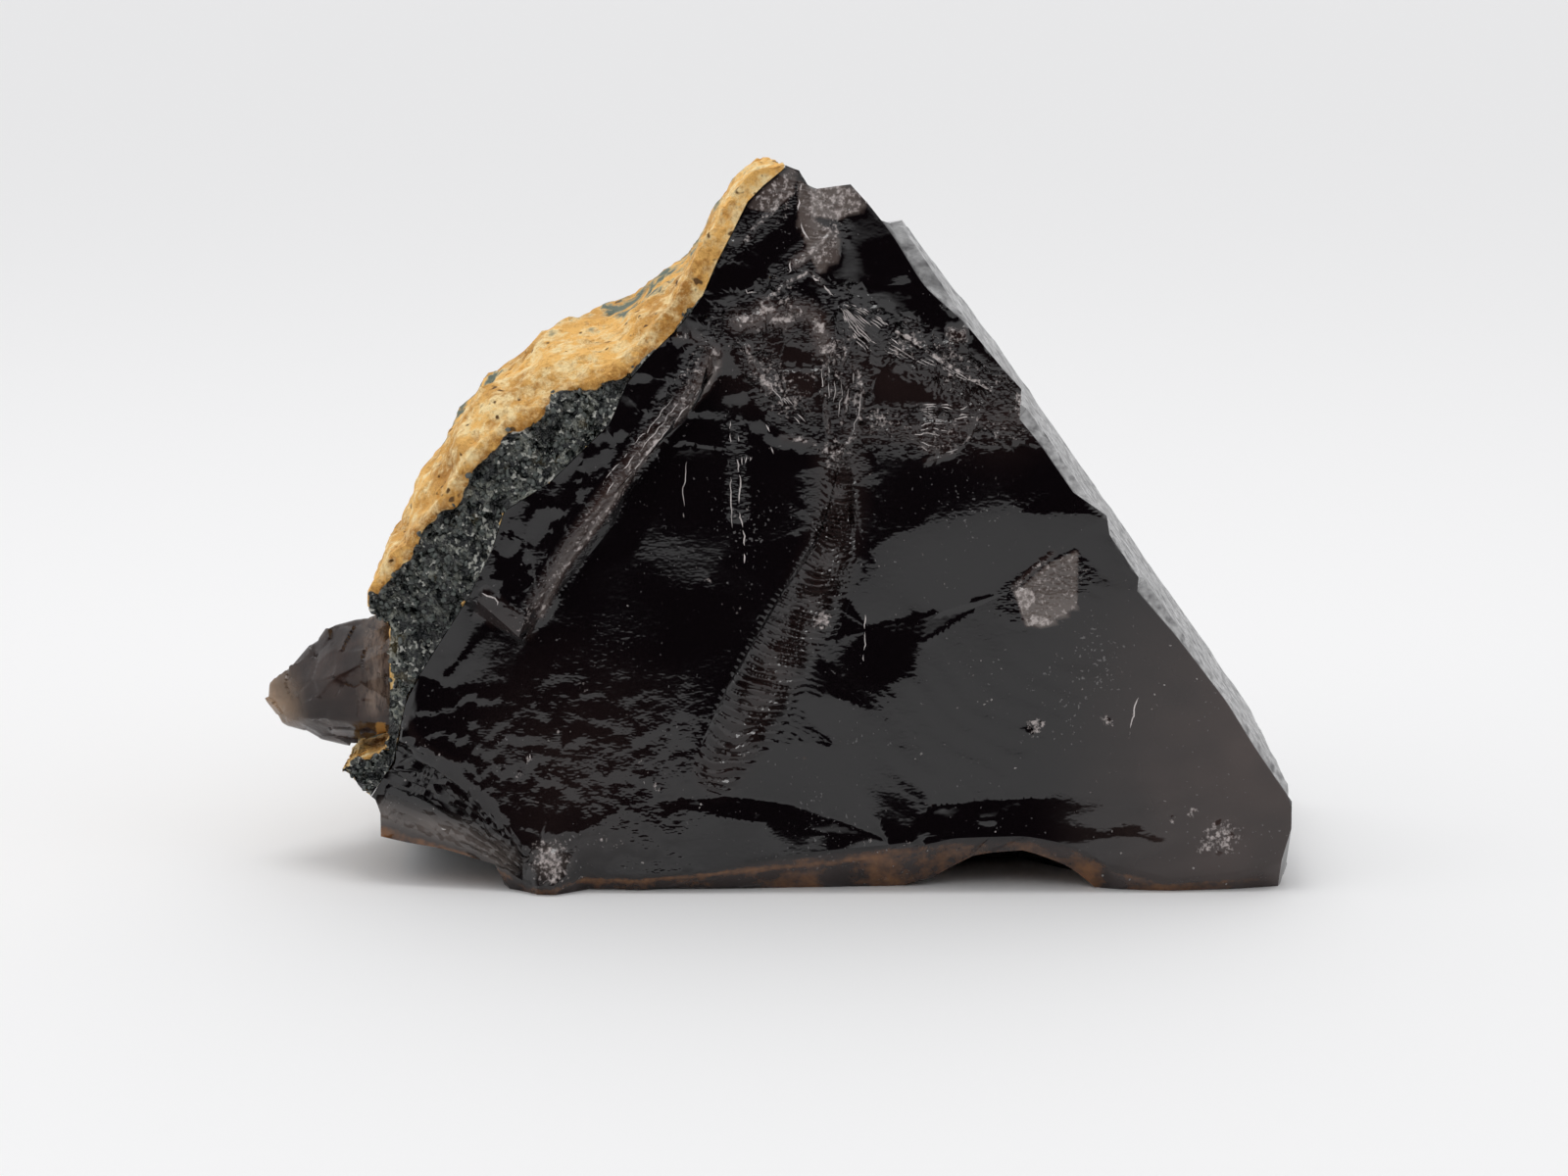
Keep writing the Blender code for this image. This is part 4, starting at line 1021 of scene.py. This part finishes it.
def quartz_masks(stone, on, pale, haze):
    """Where the quartz is pale, gets painted glow or painted rim light, or is still a natural crystal face.
    """
    spread = stone.face[on]
    for key in ("haze", "milk", "pale", "broken"):
        stone.masks[key] = np.zeros(len(stone.places))
    busy = busy_mask(spread)
    drift = 0.5 + 0.9 * waves(spread, 2.2, 29)
    stone.masks["broken"][on] = np.maximum(smooth(busy * 1.8), 0.14 * spot(spread, (-15.0, 13.0), 19.0))
    pale = np.maximum(pale, 0.30 * smooth(busy * 1.5) * np.clip(drift, 0.0, 1.2))
    # Painted glow of light through the quartz at the thin lower right corner, under the crest and at the
    # lower left
    corner = smooth((spread[:, 0] - 22.0) / 24.0) * smooth((34.0 - spread[:, 1]) / 16.0)
    brown_top = 0.35 * stroke(spread, [(-2.0, 50.0), (5.0, 48.0), (13.0, 46.5), (20.0, 45.0)], 7.0)
    # On the ladder the painted glow stands in for the grey reflection of its ribs
    ribs = 0.55 * stroke(spread, LADDER, 3.6)
    mottle = 0.3 * spot(spread, (-20.0, 12.0), 16.0)
    stone.masks["haze"][on] = np.maximum.reduce([haze, corner, brown_top, ribs, mottle])
    # Painted glow of light through thin flakes, also along the fan's foot, at a chip on the foot and at the
    # lower right corner
    fan = stroke(spread, [(-37.8, 6.9), (-34.0, 6.0), (-30.0, 5.0), (-26.0, 3.0)], 2.1)
    painted_flake_glows = [haze - 1.0, fan, 0.6 * spot(spread, (-22.0, 3.2), 2.6), 0.13 * corner]
    stone.masks["milk"][on] = np.maximum.reduce(painted_flake_glows)
    stone.masks["pale"][on] = pale
    right = stone.normals @ RIGHT_FACE_NORMAL
    stone.masks["skin"] = smooth((right - 0.80) / 0.12)
    # Under the foot, painted orange-brown reflection and glow, strongest on the lips, over a painted glow
    below = smooth(-above(stone.face, FOOT) / 0.5) * smooth((9.0 - stone.places[:, 1]) / 3.0)
    lip = np.maximum(stroke(stone.face, PAINTED_LIP_LIGHT, 0.7), stroke(stone.face, PAINTED_CORNER_LIGHT, 0.8))
    stone.masks["rim"] = below * np.maximum(0.62 * lip, 0.36 + 0.4 * waves(stone.places, 2.4, 25))
    stone.masks["haze"] = np.maximum(stone.masks["haze"], 0.7 * below)


class MORION_OT_quartz(bpy.types.Operator):
    """Build the broken black quartz"""

    bl_idname = "morion.quartz"
    bl_label = "Black quartz"

    def execute(self, context):
        looks = context.scene.morion_quartz
        stone = Stone("morion_crystal", face_size(looks.detail / MM))
        met = stone.close_seam(["matrix_crust", "side_crystal"], SEAM_SHARE)
        front = (stone.normals[:, 1] < -0.45) & (stone.places[:, 1] < 11.5)
        ladder = stroke(stone.face, LADDER, 4.4) > 0.0
        stone.creased &= ~(ladder[stone.edges[:, 0]] & ladder[stone.edges[:, 1]])
        crisp = stone.crisp()
        stone.relax(front & ~crisp & ~met, 80, 0.5, axes=(1,))
        count = np.bincount(stone.edges[stone.creased].ravel(), minlength=len(crisp))
        stone.relax(crisp & (count == 2) & ~met, 8, 0.35, edges=stone.edges[stone.creased])
        on = np.flatnonzero(front & ~met)
        relief = broken_relief(stone, on, looks)
        pale, haze = add_marks(stone, on, relief)
        stone.turn_normals()
        quartz_masks(stone, on, pale, haze)
        stone.places[:, 1] -= relief
        behind = ~front & ~met & (stone.places[:, 2] > 0.6) & (stone.places[:, 1] > 4.0)
        rough = waves(stone.places, 3.0, 14) * 0.12 + splinters(stone.places, 5.0, 0.05, 0.03, 15)
        calm = 1.0 - 0.75 * stone.masks["skin"]
        stone.places[behind] += (stone.normals * (rough * calm)[:, None])[behind]
        piece = stone.finish("black_quartz", [quartz_material(looks)])
        hand_over(piece, "morion_crystal")
        return {"FINISHED"}


def glint_tree():
    """Lines into thin broken tubes that lie on a surface."""
    number = "NodeSocketFloat"
    group, tree, given, out = group_of("glint_lines", "GeometryNodeTree", {
        "Geometry": ("NodeSocketGeometry", None), "Surface": ("NodeSocketObject", None),
        "Jitter": (number, 0.0001), "Gaps": (number, 0.4), "Seed": (number, 3.0),
        "Material": ("NodeSocketMaterial", None),
    }, {"Geometry": "NodeSocketGeometry"})
    place = tree.add("GeometryNodeInputPosition").outputs[0]
    shift = tree.wander(place, 900.0, 2.0, given["Jitter"])
    moved = tree.add("GeometryNodeSetPosition", {"Geometry": given["Geometry"], "Offset": shift})
    surface = tree.add("GeometryNodeObjectInfo", {"Object": given["Surface"]}).outputs["Geometry"]
    nearest = tree.add("GeometryNodeProximity", {0: surface}, target_element="FACES")
    laid = tree.add("GeometryNodeSetPosition", {
        "Geometry": moved.outputs[0], "Position": nearest.outputs["Position"],
    })
    shifted = tree.add("ShaderNodeVectorMath", {0: place, 1: given["Seed"]}, operation="ADD")
    luck = tree.add("ShaderNodeTexNoise", {"Vector": shifted.outputs[0], "Scale": 700.0, "Detail": 1.0})
    gone = tree.math("LESS_THAN", luck.outputs[0], given["Gaps"])
    kept = tree.add(
        "GeometryNodeDeleteGeometry", {"Geometry": laid.outputs[0], "Selection": gone},
        domain="EDGE", mode="EDGE_FACE",
    )
    curve = tree.add("GeometryNodeMeshToCurve", {"Mesh": kept.outputs[0]})
    share = tree.add("GeometryNodeSplineParameter").outputs["Factor"]
    taper = tree.math("SINE", tree.math("MULTIPLY", share, math.pi))
    taper = tree.math("ADD", tree.math("POWER", tree.math("MAXIMUM", taper, 0.0), 0.5), 0.12)
    ring = tree.add("GeometryNodeCurvePrimitiveCircle", {"Resolution": 5, "Radius": 1.0})
    tube = tree.add("GeometryNodeCurveToMesh", {
        "Curve": curve.outputs[0], "Profile Curve": ring.outputs[0],
        "Scale": tree.math("MULTIPLY", taper, tree.named("thick")), "Fill Caps": True,
    })
    tree.end(out["Geometry"], tube.outputs[0], given["Material"])
    return group


def sheaf(first, last, count):
    """Lines spread evenly from the first to the last, each starting and ending a little unevenly."""
    first, last = np.array(first, float), np.array(last, float)
    lines = []
    for i in range(count):
        share = i / max(count - 1, 1)
        line = first + (last - first) * share
        uneven = dice(np.array([[i, count, int(first[0, 0] * 10)]]), 5)[0]
        steps = np.linspace(0.25 * uneven, 1.0 - 0.3 * (1.0 - uneven), 12) * (len(line) - 1)
        at = np.arange(len(line))
        lines.append(np.column_stack([np.interp(steps, at, line[:, axis]) for axis in (0, 1)]))
    return lines


def surface_of(piece):
    """A ray's way down onto a finished piece, from places on the broken face."""
    bm = bmesh.new()
    bm.from_mesh(piece.data)
    tree = BVHTree.FromBMesh(bm)
    bm.free()

    def drop(x, z):
        start = ORIGIN + Vector((x, -20.0, z)) * MM
        return tree.ray_cast(start, Vector((0.0, 1.0, 0.0)))[0]
    return drop


class MORION_OT_glints(bpy.types.Operator):
    """Draw the hair-thin lines on the broken quartz, with painted glints"""

    bl_idname = "morion.glints"
    bl_label = "Bright lines"

    def execute(self, context):
        looks = context.scene.morion_glints
        quartz = bpy.data.objects["black_quartz"]
        drop = surface_of(quartz)
        lines = list(GLINTS)
        for first, last, count, thick in SHEAVES:
            lines += [(line, thick) for line in sheaf(first, last, count)]
        places, edges, thicks = [], [], []
        for line, thick in lines:
            before = None
            for start, end in zip(line, line[1:]):
                steps = max(1, int(math.dist(start, end) * MM / looks.spacing))
                for step in range(steps):
                    x, z = np.array(start) + (np.array(end) - start) * step / steps
                    hit = drop(x, z)
                    if hit is None:
                        before = None
                        continue
                    places.append(hit)
                    thicks.append(thick * MM)
                    if before is not None:
                        edges.append((before, len(places) - 1))
                    before = len(places) - 1
        mesh = bpy.data.meshes.new("glint_paths")
        mesh.from_pydata(places, edges, [])
        layer = mesh.attributes.new("thick", "FLOAT", "POINT")
        layer.data.foreach_set("value", np.array(thicks, np.float32))
        # The lines' pale material paints their glint
        material = plain_quartz("painted_glint", looks.tint, 0.25)
        piece = grown("fracture_lines", glint_tree(), {
            "Surface": quartz, "Jitter": looks.jitter, "Gaps": looks.gaps, "Material": material,
        }, mesh)
        hand_over(piece)
        return {"FINISHED"}


def scatter_tree():
    """Small angular crumbs of stone strewn over a surface where an attribute asks for them."""
    number = "NodeSocketFloat"
    group, tree, given, out = group_of("strewn_crumbs", "GeometryNodeTree", {
        "Geometry": ("NodeSocketGeometry", None), "Surface": ("NodeSocketObject", None),
        "Where": ("NodeSocketString", "crumbs"), "Density": (number, 1000.0), "Size": (number, 0.0003),
        "Seed": ("NodeSocketInt", 1), "Material": ("NodeSocketMaterial", None),
    }, {"Geometry": "NodeSocketGeometry"})
    surface = tree.add("GeometryNodeObjectInfo", {"Object": given["Surface"]}).outputs["Geometry"]
    density = tree.math("MULTIPLY", tree.named(given["Where"]), given["Density"])
    points = tree.add("GeometryNodeDistributePointsOnFaces", {
        "Mesh": surface, "Density": density, "Seed": given["Seed"],
    })
    crumb = tree.add("GeometryNodeMeshIcoSphere", {"Radius": given["Size"], "Subdivisions": 1}).outputs[0]
    place = tree.add("GeometryNodeInputPosition").outputs[0]
    dent = tree.wander(place, 2600.0, 1.0, given["Size"])
    crumb = tree.add("GeometryNodeSetPosition", {"Geometry": crumb, "Offset": dent}).outputs[0]
    spin = tree.add("FunctionNodeRandomValue", {
        0: (0.0, 0.0, 0.0), 1: (6.28, 6.28, 6.28), "Seed": given["Seed"],
    }, data_type="FLOAT_VECTOR").outputs[0]
    size = tree.add("FunctionNodeRandomValue", {
        0: (0.3, 0.3, 0.3), 1: (1.5, 1.0, 1.2), "Seed": given["Seed"],
    }, data_type="FLOAT_VECTOR").outputs[0]
    crumbs = tree.add("GeometryNodeInstanceOnPoints", {
        "Points": points.outputs["Points"], "Instance": crumb, "Rotation": spin, "Scale": size,
    })
    tree.end(out["Geometry"], crumbs.outputs[0], given["Material"])
    return group


def strew(name, looks, surface, where, material):
    """Makes one piece of all the crumbs on a surface."""
    group = bpy.data.node_groups.get("strewn_crumbs") or scatter_tree()
    piece = grown(name, group, {
        "Surface": surface, "Where": where, "Density": looks.density, "Size": looks.size,
        "Seed": looks.seed, "Material": material,
    })
    hand_over(piece)


class MORION_OT_chips(bpy.types.Operator):
    """Strew crumbs of quartz over the broken face"""

    bl_idname = "morion.chips"
    bl_label = "Quartz crumbs"

    def execute(self, context):
        looks = context.scene.morion_chips
        quartz = bpy.data.objects["black_quartz"]
        mesh = quartz.data
        places = np.empty(len(mesh.vertices) * 3)
        mesh.vertices.foreach_get("co", places)
        places = (places.reshape(-1, 3) - np.array(ORIGIN)) / MM
        face = places[:, [0, 2]]
        normals = np.empty(len(mesh.vertices) * 3)
        mesh.vertices.foreach_get("normal", normals)
        front = normals.reshape(-1, 3)[:, 1] < -0.5
        pale = np.empty(len(mesh.vertices), np.float32)
        mesh.attributes["pale"].data.foreach_get("value", pale)
        drifts = smooth(waves(face, 4.0, 41) * 1.6) * smooth((30.0 - face[:, 1]) / 14.0)
        amount = front * clear_of_box(places, CRUMB_MARGIN) * (0.25 * drifts + 1.5 * pale ** 2)
        layer = mesh.attributes.new("crumbs", "FLOAT", "POINT")
        layer.data.foreach_set("value", amount.astype(np.float32))
        material = plain_quartz("crumb_quartz", looks.tint, 0.4)
        strew("quartz_crumbs", looks, quartz, "crumbs", material)
        return {"FINISHED"}


class MORION_OT_rock(bpy.types.Operator):
    """Build the weathered rock crust"""

    bl_idname = "morion.rock"
    bl_label = "Rock crust"

    def execute(self, context):
        looks = context.scene.morion_rock
        detail = looks.detail / MM
        stone = Stone("matrix_crust", lambda p: np.where(p[:, 1] > 14.0, detail * 2.0, detail))
        met = stone.close_seam(["morion_crystal", "side_crystal"], SEAM_SHARE)
        face = stone.face
        up = above(face, SKIN_FOOT) + waves(face, 2.6, 27) * 0.9 + waves(face, 0.9, 28) * 0.4
        up += 2.6 * smooth((face[:, 1] - 49.0) / 7.0)
        near_foot = along(face, SKIN_FOOT)[1]
        front = smooth((10.0 - stone.places[:, 1]) / 3.0) * smooth((-stone.normals[:, 1] - 0.1) / 0.3)
        lower = smooth(-up / 1.2 + 0.5) * front
        lower = np.maximum(lower, smooth((-0.5 - stone.normals[:, 2]) / 0.3) * 0.5)
        stone.masks["ochre"] = 1.0 - lower
        stone.masks["foot"] = smooth(1.0 - near_foot / 1.6) * smooth((9.0 - stone.places[:, 1]) / 3.0)
        back = smooth((stone.places[:, 1] - 9.0) / 8.0) * smooth(stone.normals[:, 2] + 0.4)
        stone.masks["bare"] = 0.42 * back + (0.05 + 0.17 * back) * waves(stone.places, 7.0, 17)
        veins = stroke(face, VEIN_LINE, 1.0)
        stone.masks["vein"] = np.maximum(veins, 0.8 * smooth(waves(face, 2.0, 18) * 2.0 - 0.5))
        grains = splinters(stone.places, 0.8, 0.9, 0.12, 19) + splinters(stone.places, 1.9, 0.4, 0.12, 20)
        powder = waves(stone.places, 2.6, 22) * 0.34 + waves(stone.places, 0.9, 23) * 0.2
        powder -= 0.5 * smooth(waves(stone.places, 1.3, 24) * 2.4 - 0.8)
        ledge = 0.35 * stone.masks["foot"] * smooth(up / 0.8 + 0.3)
        height = lower * (grains * 0.8 - 0.12) + (1.0 - lower) * (powder + ledge)
        stone.places += stone.normals * (height * ~met)[:, None]
        open_rock = lower * ~met * (stone.normals[:, 1] < -0.3)
        stone.masks["grains"] = open_rock * clear_of_box(stone.places, GRAIN_MARGIN)
        stone.turn_normals()
        piece = stone.finish("rock_crust", [rock_material(looks)])
        hand_over(piece, "matrix_crust")
        return {"FINISHED"}


class MORION_OT_grains(bpy.types.Operator):
    """Set mineral grains in the fresh rock"""

    bl_idname = "morion.grains"
    bl_label = "Mineral grains"

    def execute(self, context):
        looks = context.scene.morion_grains
        rock = bpy.data.objects["rock_crust"]
        material = plain_quartz("pale_mineral", looks.tint, 0.35)
        strew("rock_grains", looks, rock, "grains", material)
        return {"FINISHED"}


class MORION_OT_side(bpy.types.Operator):
    """Build the small smoky crystal"""

    bl_idname = "morion.side"
    bl_label = "Side crystal"

    def execute(self, context):
        looks = context.scene.morion_side
        stone = Stone("side_crystal", lambda p: np.full(len(p), looks.detail / MM))
        met = stone.close_seam(["matrix_crust", "morion_crystal"], SIDE_SEAM_SHARE)
        stone.relax(~met, 8, 0.5)
        stone.turn_normals()
        bumps = waves(stone.places, 2.2, 7) * 0.10 + splinters(stone.places, 2.4, 0.14, 0.05, 3)
        stone.places += stone.normals * (bumps * ~met)[:, None]
        face = stone.face
        stone.masks["tip"] = spot(face, (-49.9, 15.9), 5.4)
        stone.masks["band"] = stroke(face, [(-39.0, 25.5), (-38.2, 21.5), (-38.6, 17.5)], 2.4)
        film = stroke(face, FILM_LINE, 0.9)
        spots = stroke(face, [(-44.0, 24.4), (-42.0, 24.6)], 0.8)
        stone.masks["film"] = np.maximum(film, spots * 0.8)
        piece = stone.finish("smoky_side_crystal", [smoky_material(looks)])
        hand_over(piece, "side_crystal")
        return {"FINISHED"}


class MORION_OT_stage(bpy.types.Operator):
    """Build the floor, the light and the camera"""

    bl_idname = "morion.stage"
    bl_label = "Stage"

    def execute(self, context):
        scene = context.scene
        looks = scene.morion_stage
        scene.view_settings.view_transform = "Standard"
        floor_mesh = bpy.data.meshes.new("floor")
        corners = [(x * FLOOR_REACH, y * FLOOR_REACH, 0) for x, y in ((-1, -1), (1, -1), (1, 1), (-1, 1))]
        floor_mesh.from_pydata(corners, [], [(0, 1, 2, 3)])
        floor = bpy.data.objects.new("floor", floor_mesh)
        material, _, shader = material_of("pale_floor")
        shader.inputs["Base Color"].default_value = colour(looks.floor)
        shader.inputs["Roughness"].default_value = 0.9
        shader.inputs["Specular IOR Level"].default_value = 0.1
        floor_mesh.materials.append(material)
        scene.collection.objects.link(floor)
        self.lamp(scene)
        self.world(scene)
        camera_data = bpy.data.cameras.new("camera")
        camera_data.lens = 75.0
        camera_data.sensor_width = 36.0
        camera_data.clip_start = 0.01
        camera = bpy.data.objects.new("camera", camera_data)
        back = Vector((0.0, -math.cos(looks.elevation), math.sin(looks.elevation)))
        aim = Vector((ORIGIN.x, ORIGIN.y, looks.aim_height))
        camera.location = aim + back * looks.distance
        camera.rotation_euler = (math.pi / 2 - looks.elevation, 0.0, 0.0)
        scene.collection.objects.link(camera)
        scene.camera = camera
        return {"FINISHED"}

    def lamp(self, scene):
        """A small soft box aimed at the specimen."""
        data = bpy.data.lights.new("lamp", "AREA")
        data.shape = "SQUARE"
        data.size = LAMP_SIZE
        data.energy = LAMP_ENERGY
        lamp = bpy.data.objects.new("lamp", data)
        lamp.location = LAMP_PLACE
        lamp.rotation_euler = Vector(LAMP_PLACE).to_track_quat("Z", "Y").to_euler()
        scene.collection.objects.link(lamp)

    def world(self, scene):
        """A pale surround with a dark room where the viewer stands, as glossy stone reflects it."""
        world = bpy.data.worlds.new("surround")
        world.use_nodes = True
        scene.world = world
        tree = Tree(world.node_tree)
        direction = tree.add("ShaderNodeTexCoord").outputs["Generated"]
        x, y, z = tree.add("ShaderNodeSeparateXYZ", {0: direction}).outputs
        low = tree.ramp(z, 0.0, 0.03)
        high = tree.ramp(z, 0.62, 0.42)
        ahead = tree.math("MAXIMUM", tree.math("MULTIPLY", y, -1.0), 0.001)
        wide = tree.math("DIVIDE", tree.math("ABSOLUTE", x), ahead)
        dark = tree.math("MULTIPLY", tree.math("MULTIPLY", low, high), tree.ramp(wide, 1.5, 0.8))
        seen = tree.mix(dark, PALE_ROOM, DARK_ROOM)
        path = tree.add("ShaderNodeLightPath")
        shown = tree.mix(path.outputs["Is Camera Ray"], seen, BACKDROP)
        tree.feed(world.node_tree.nodes["Background"].inputs["Color"], shown)


class MORION_PT_panel(bpy.types.Panel):
    """The specimen's pieces and their looks"""

    bl_idname = "MORION_PT_panel"
    bl_label = "Morion specimen"
    bl_space_type = "VIEW_3D"
    bl_region_type = "UI"
    bl_category = "Morion"

    def draw(self, context):
        for step, looks in STEPS:
            box = self.layout.box()
            box.operator(step.bl_idname)
            group = getattr(context.scene, looks)
            for name in group.bl_rna.properties.keys():
                if name not in {"rna_type", "name"}:
                    box.prop(group, name)


STEPS = [
    (MORION_OT_stage, "morion_stage"),
    (MORION_OT_quartz, "morion_quartz"),
    (MORION_OT_glints, "morion_glints"),
    (MORION_OT_chips, "morion_chips"),
    (MORION_OT_rock, "morion_rock"),
    (MORION_OT_grains, "morion_grains"),
    (MORION_OT_side, "morion_side"),
]
GROUPS = {
    "morion_stage": StageLooks,
    "morion_quartz": QuartzLooks,
    "morion_glints": GlintLooks,
    "morion_chips": ChipLooks,
    "morion_rock": RockLooks,
    "morion_grains": GrainLooks,
    "morion_side": SideLooks,
}
CLASSES = [*GROUPS.values(), *(step for step, _ in STEPS), MORION_PT_panel]


def register():
    for cls in CLASSES:
        bpy.utils.register_class(cls)
    for name, group in GROUPS.items():
        setattr(bpy.types.Scene, name, PointerProperty(type=group))


def unregister():
    for name in GROUPS:
        delattr(bpy.types.Scene, name)
    for cls in reversed(CLASSES):
        bpy.utils.unregister_class(cls)


def main():
    register()
    for step, _ in STEPS:
        getattr(bpy.ops.morion, step.bl_idname.split(".")[1])()


if __name__ == "__main__":
    main()
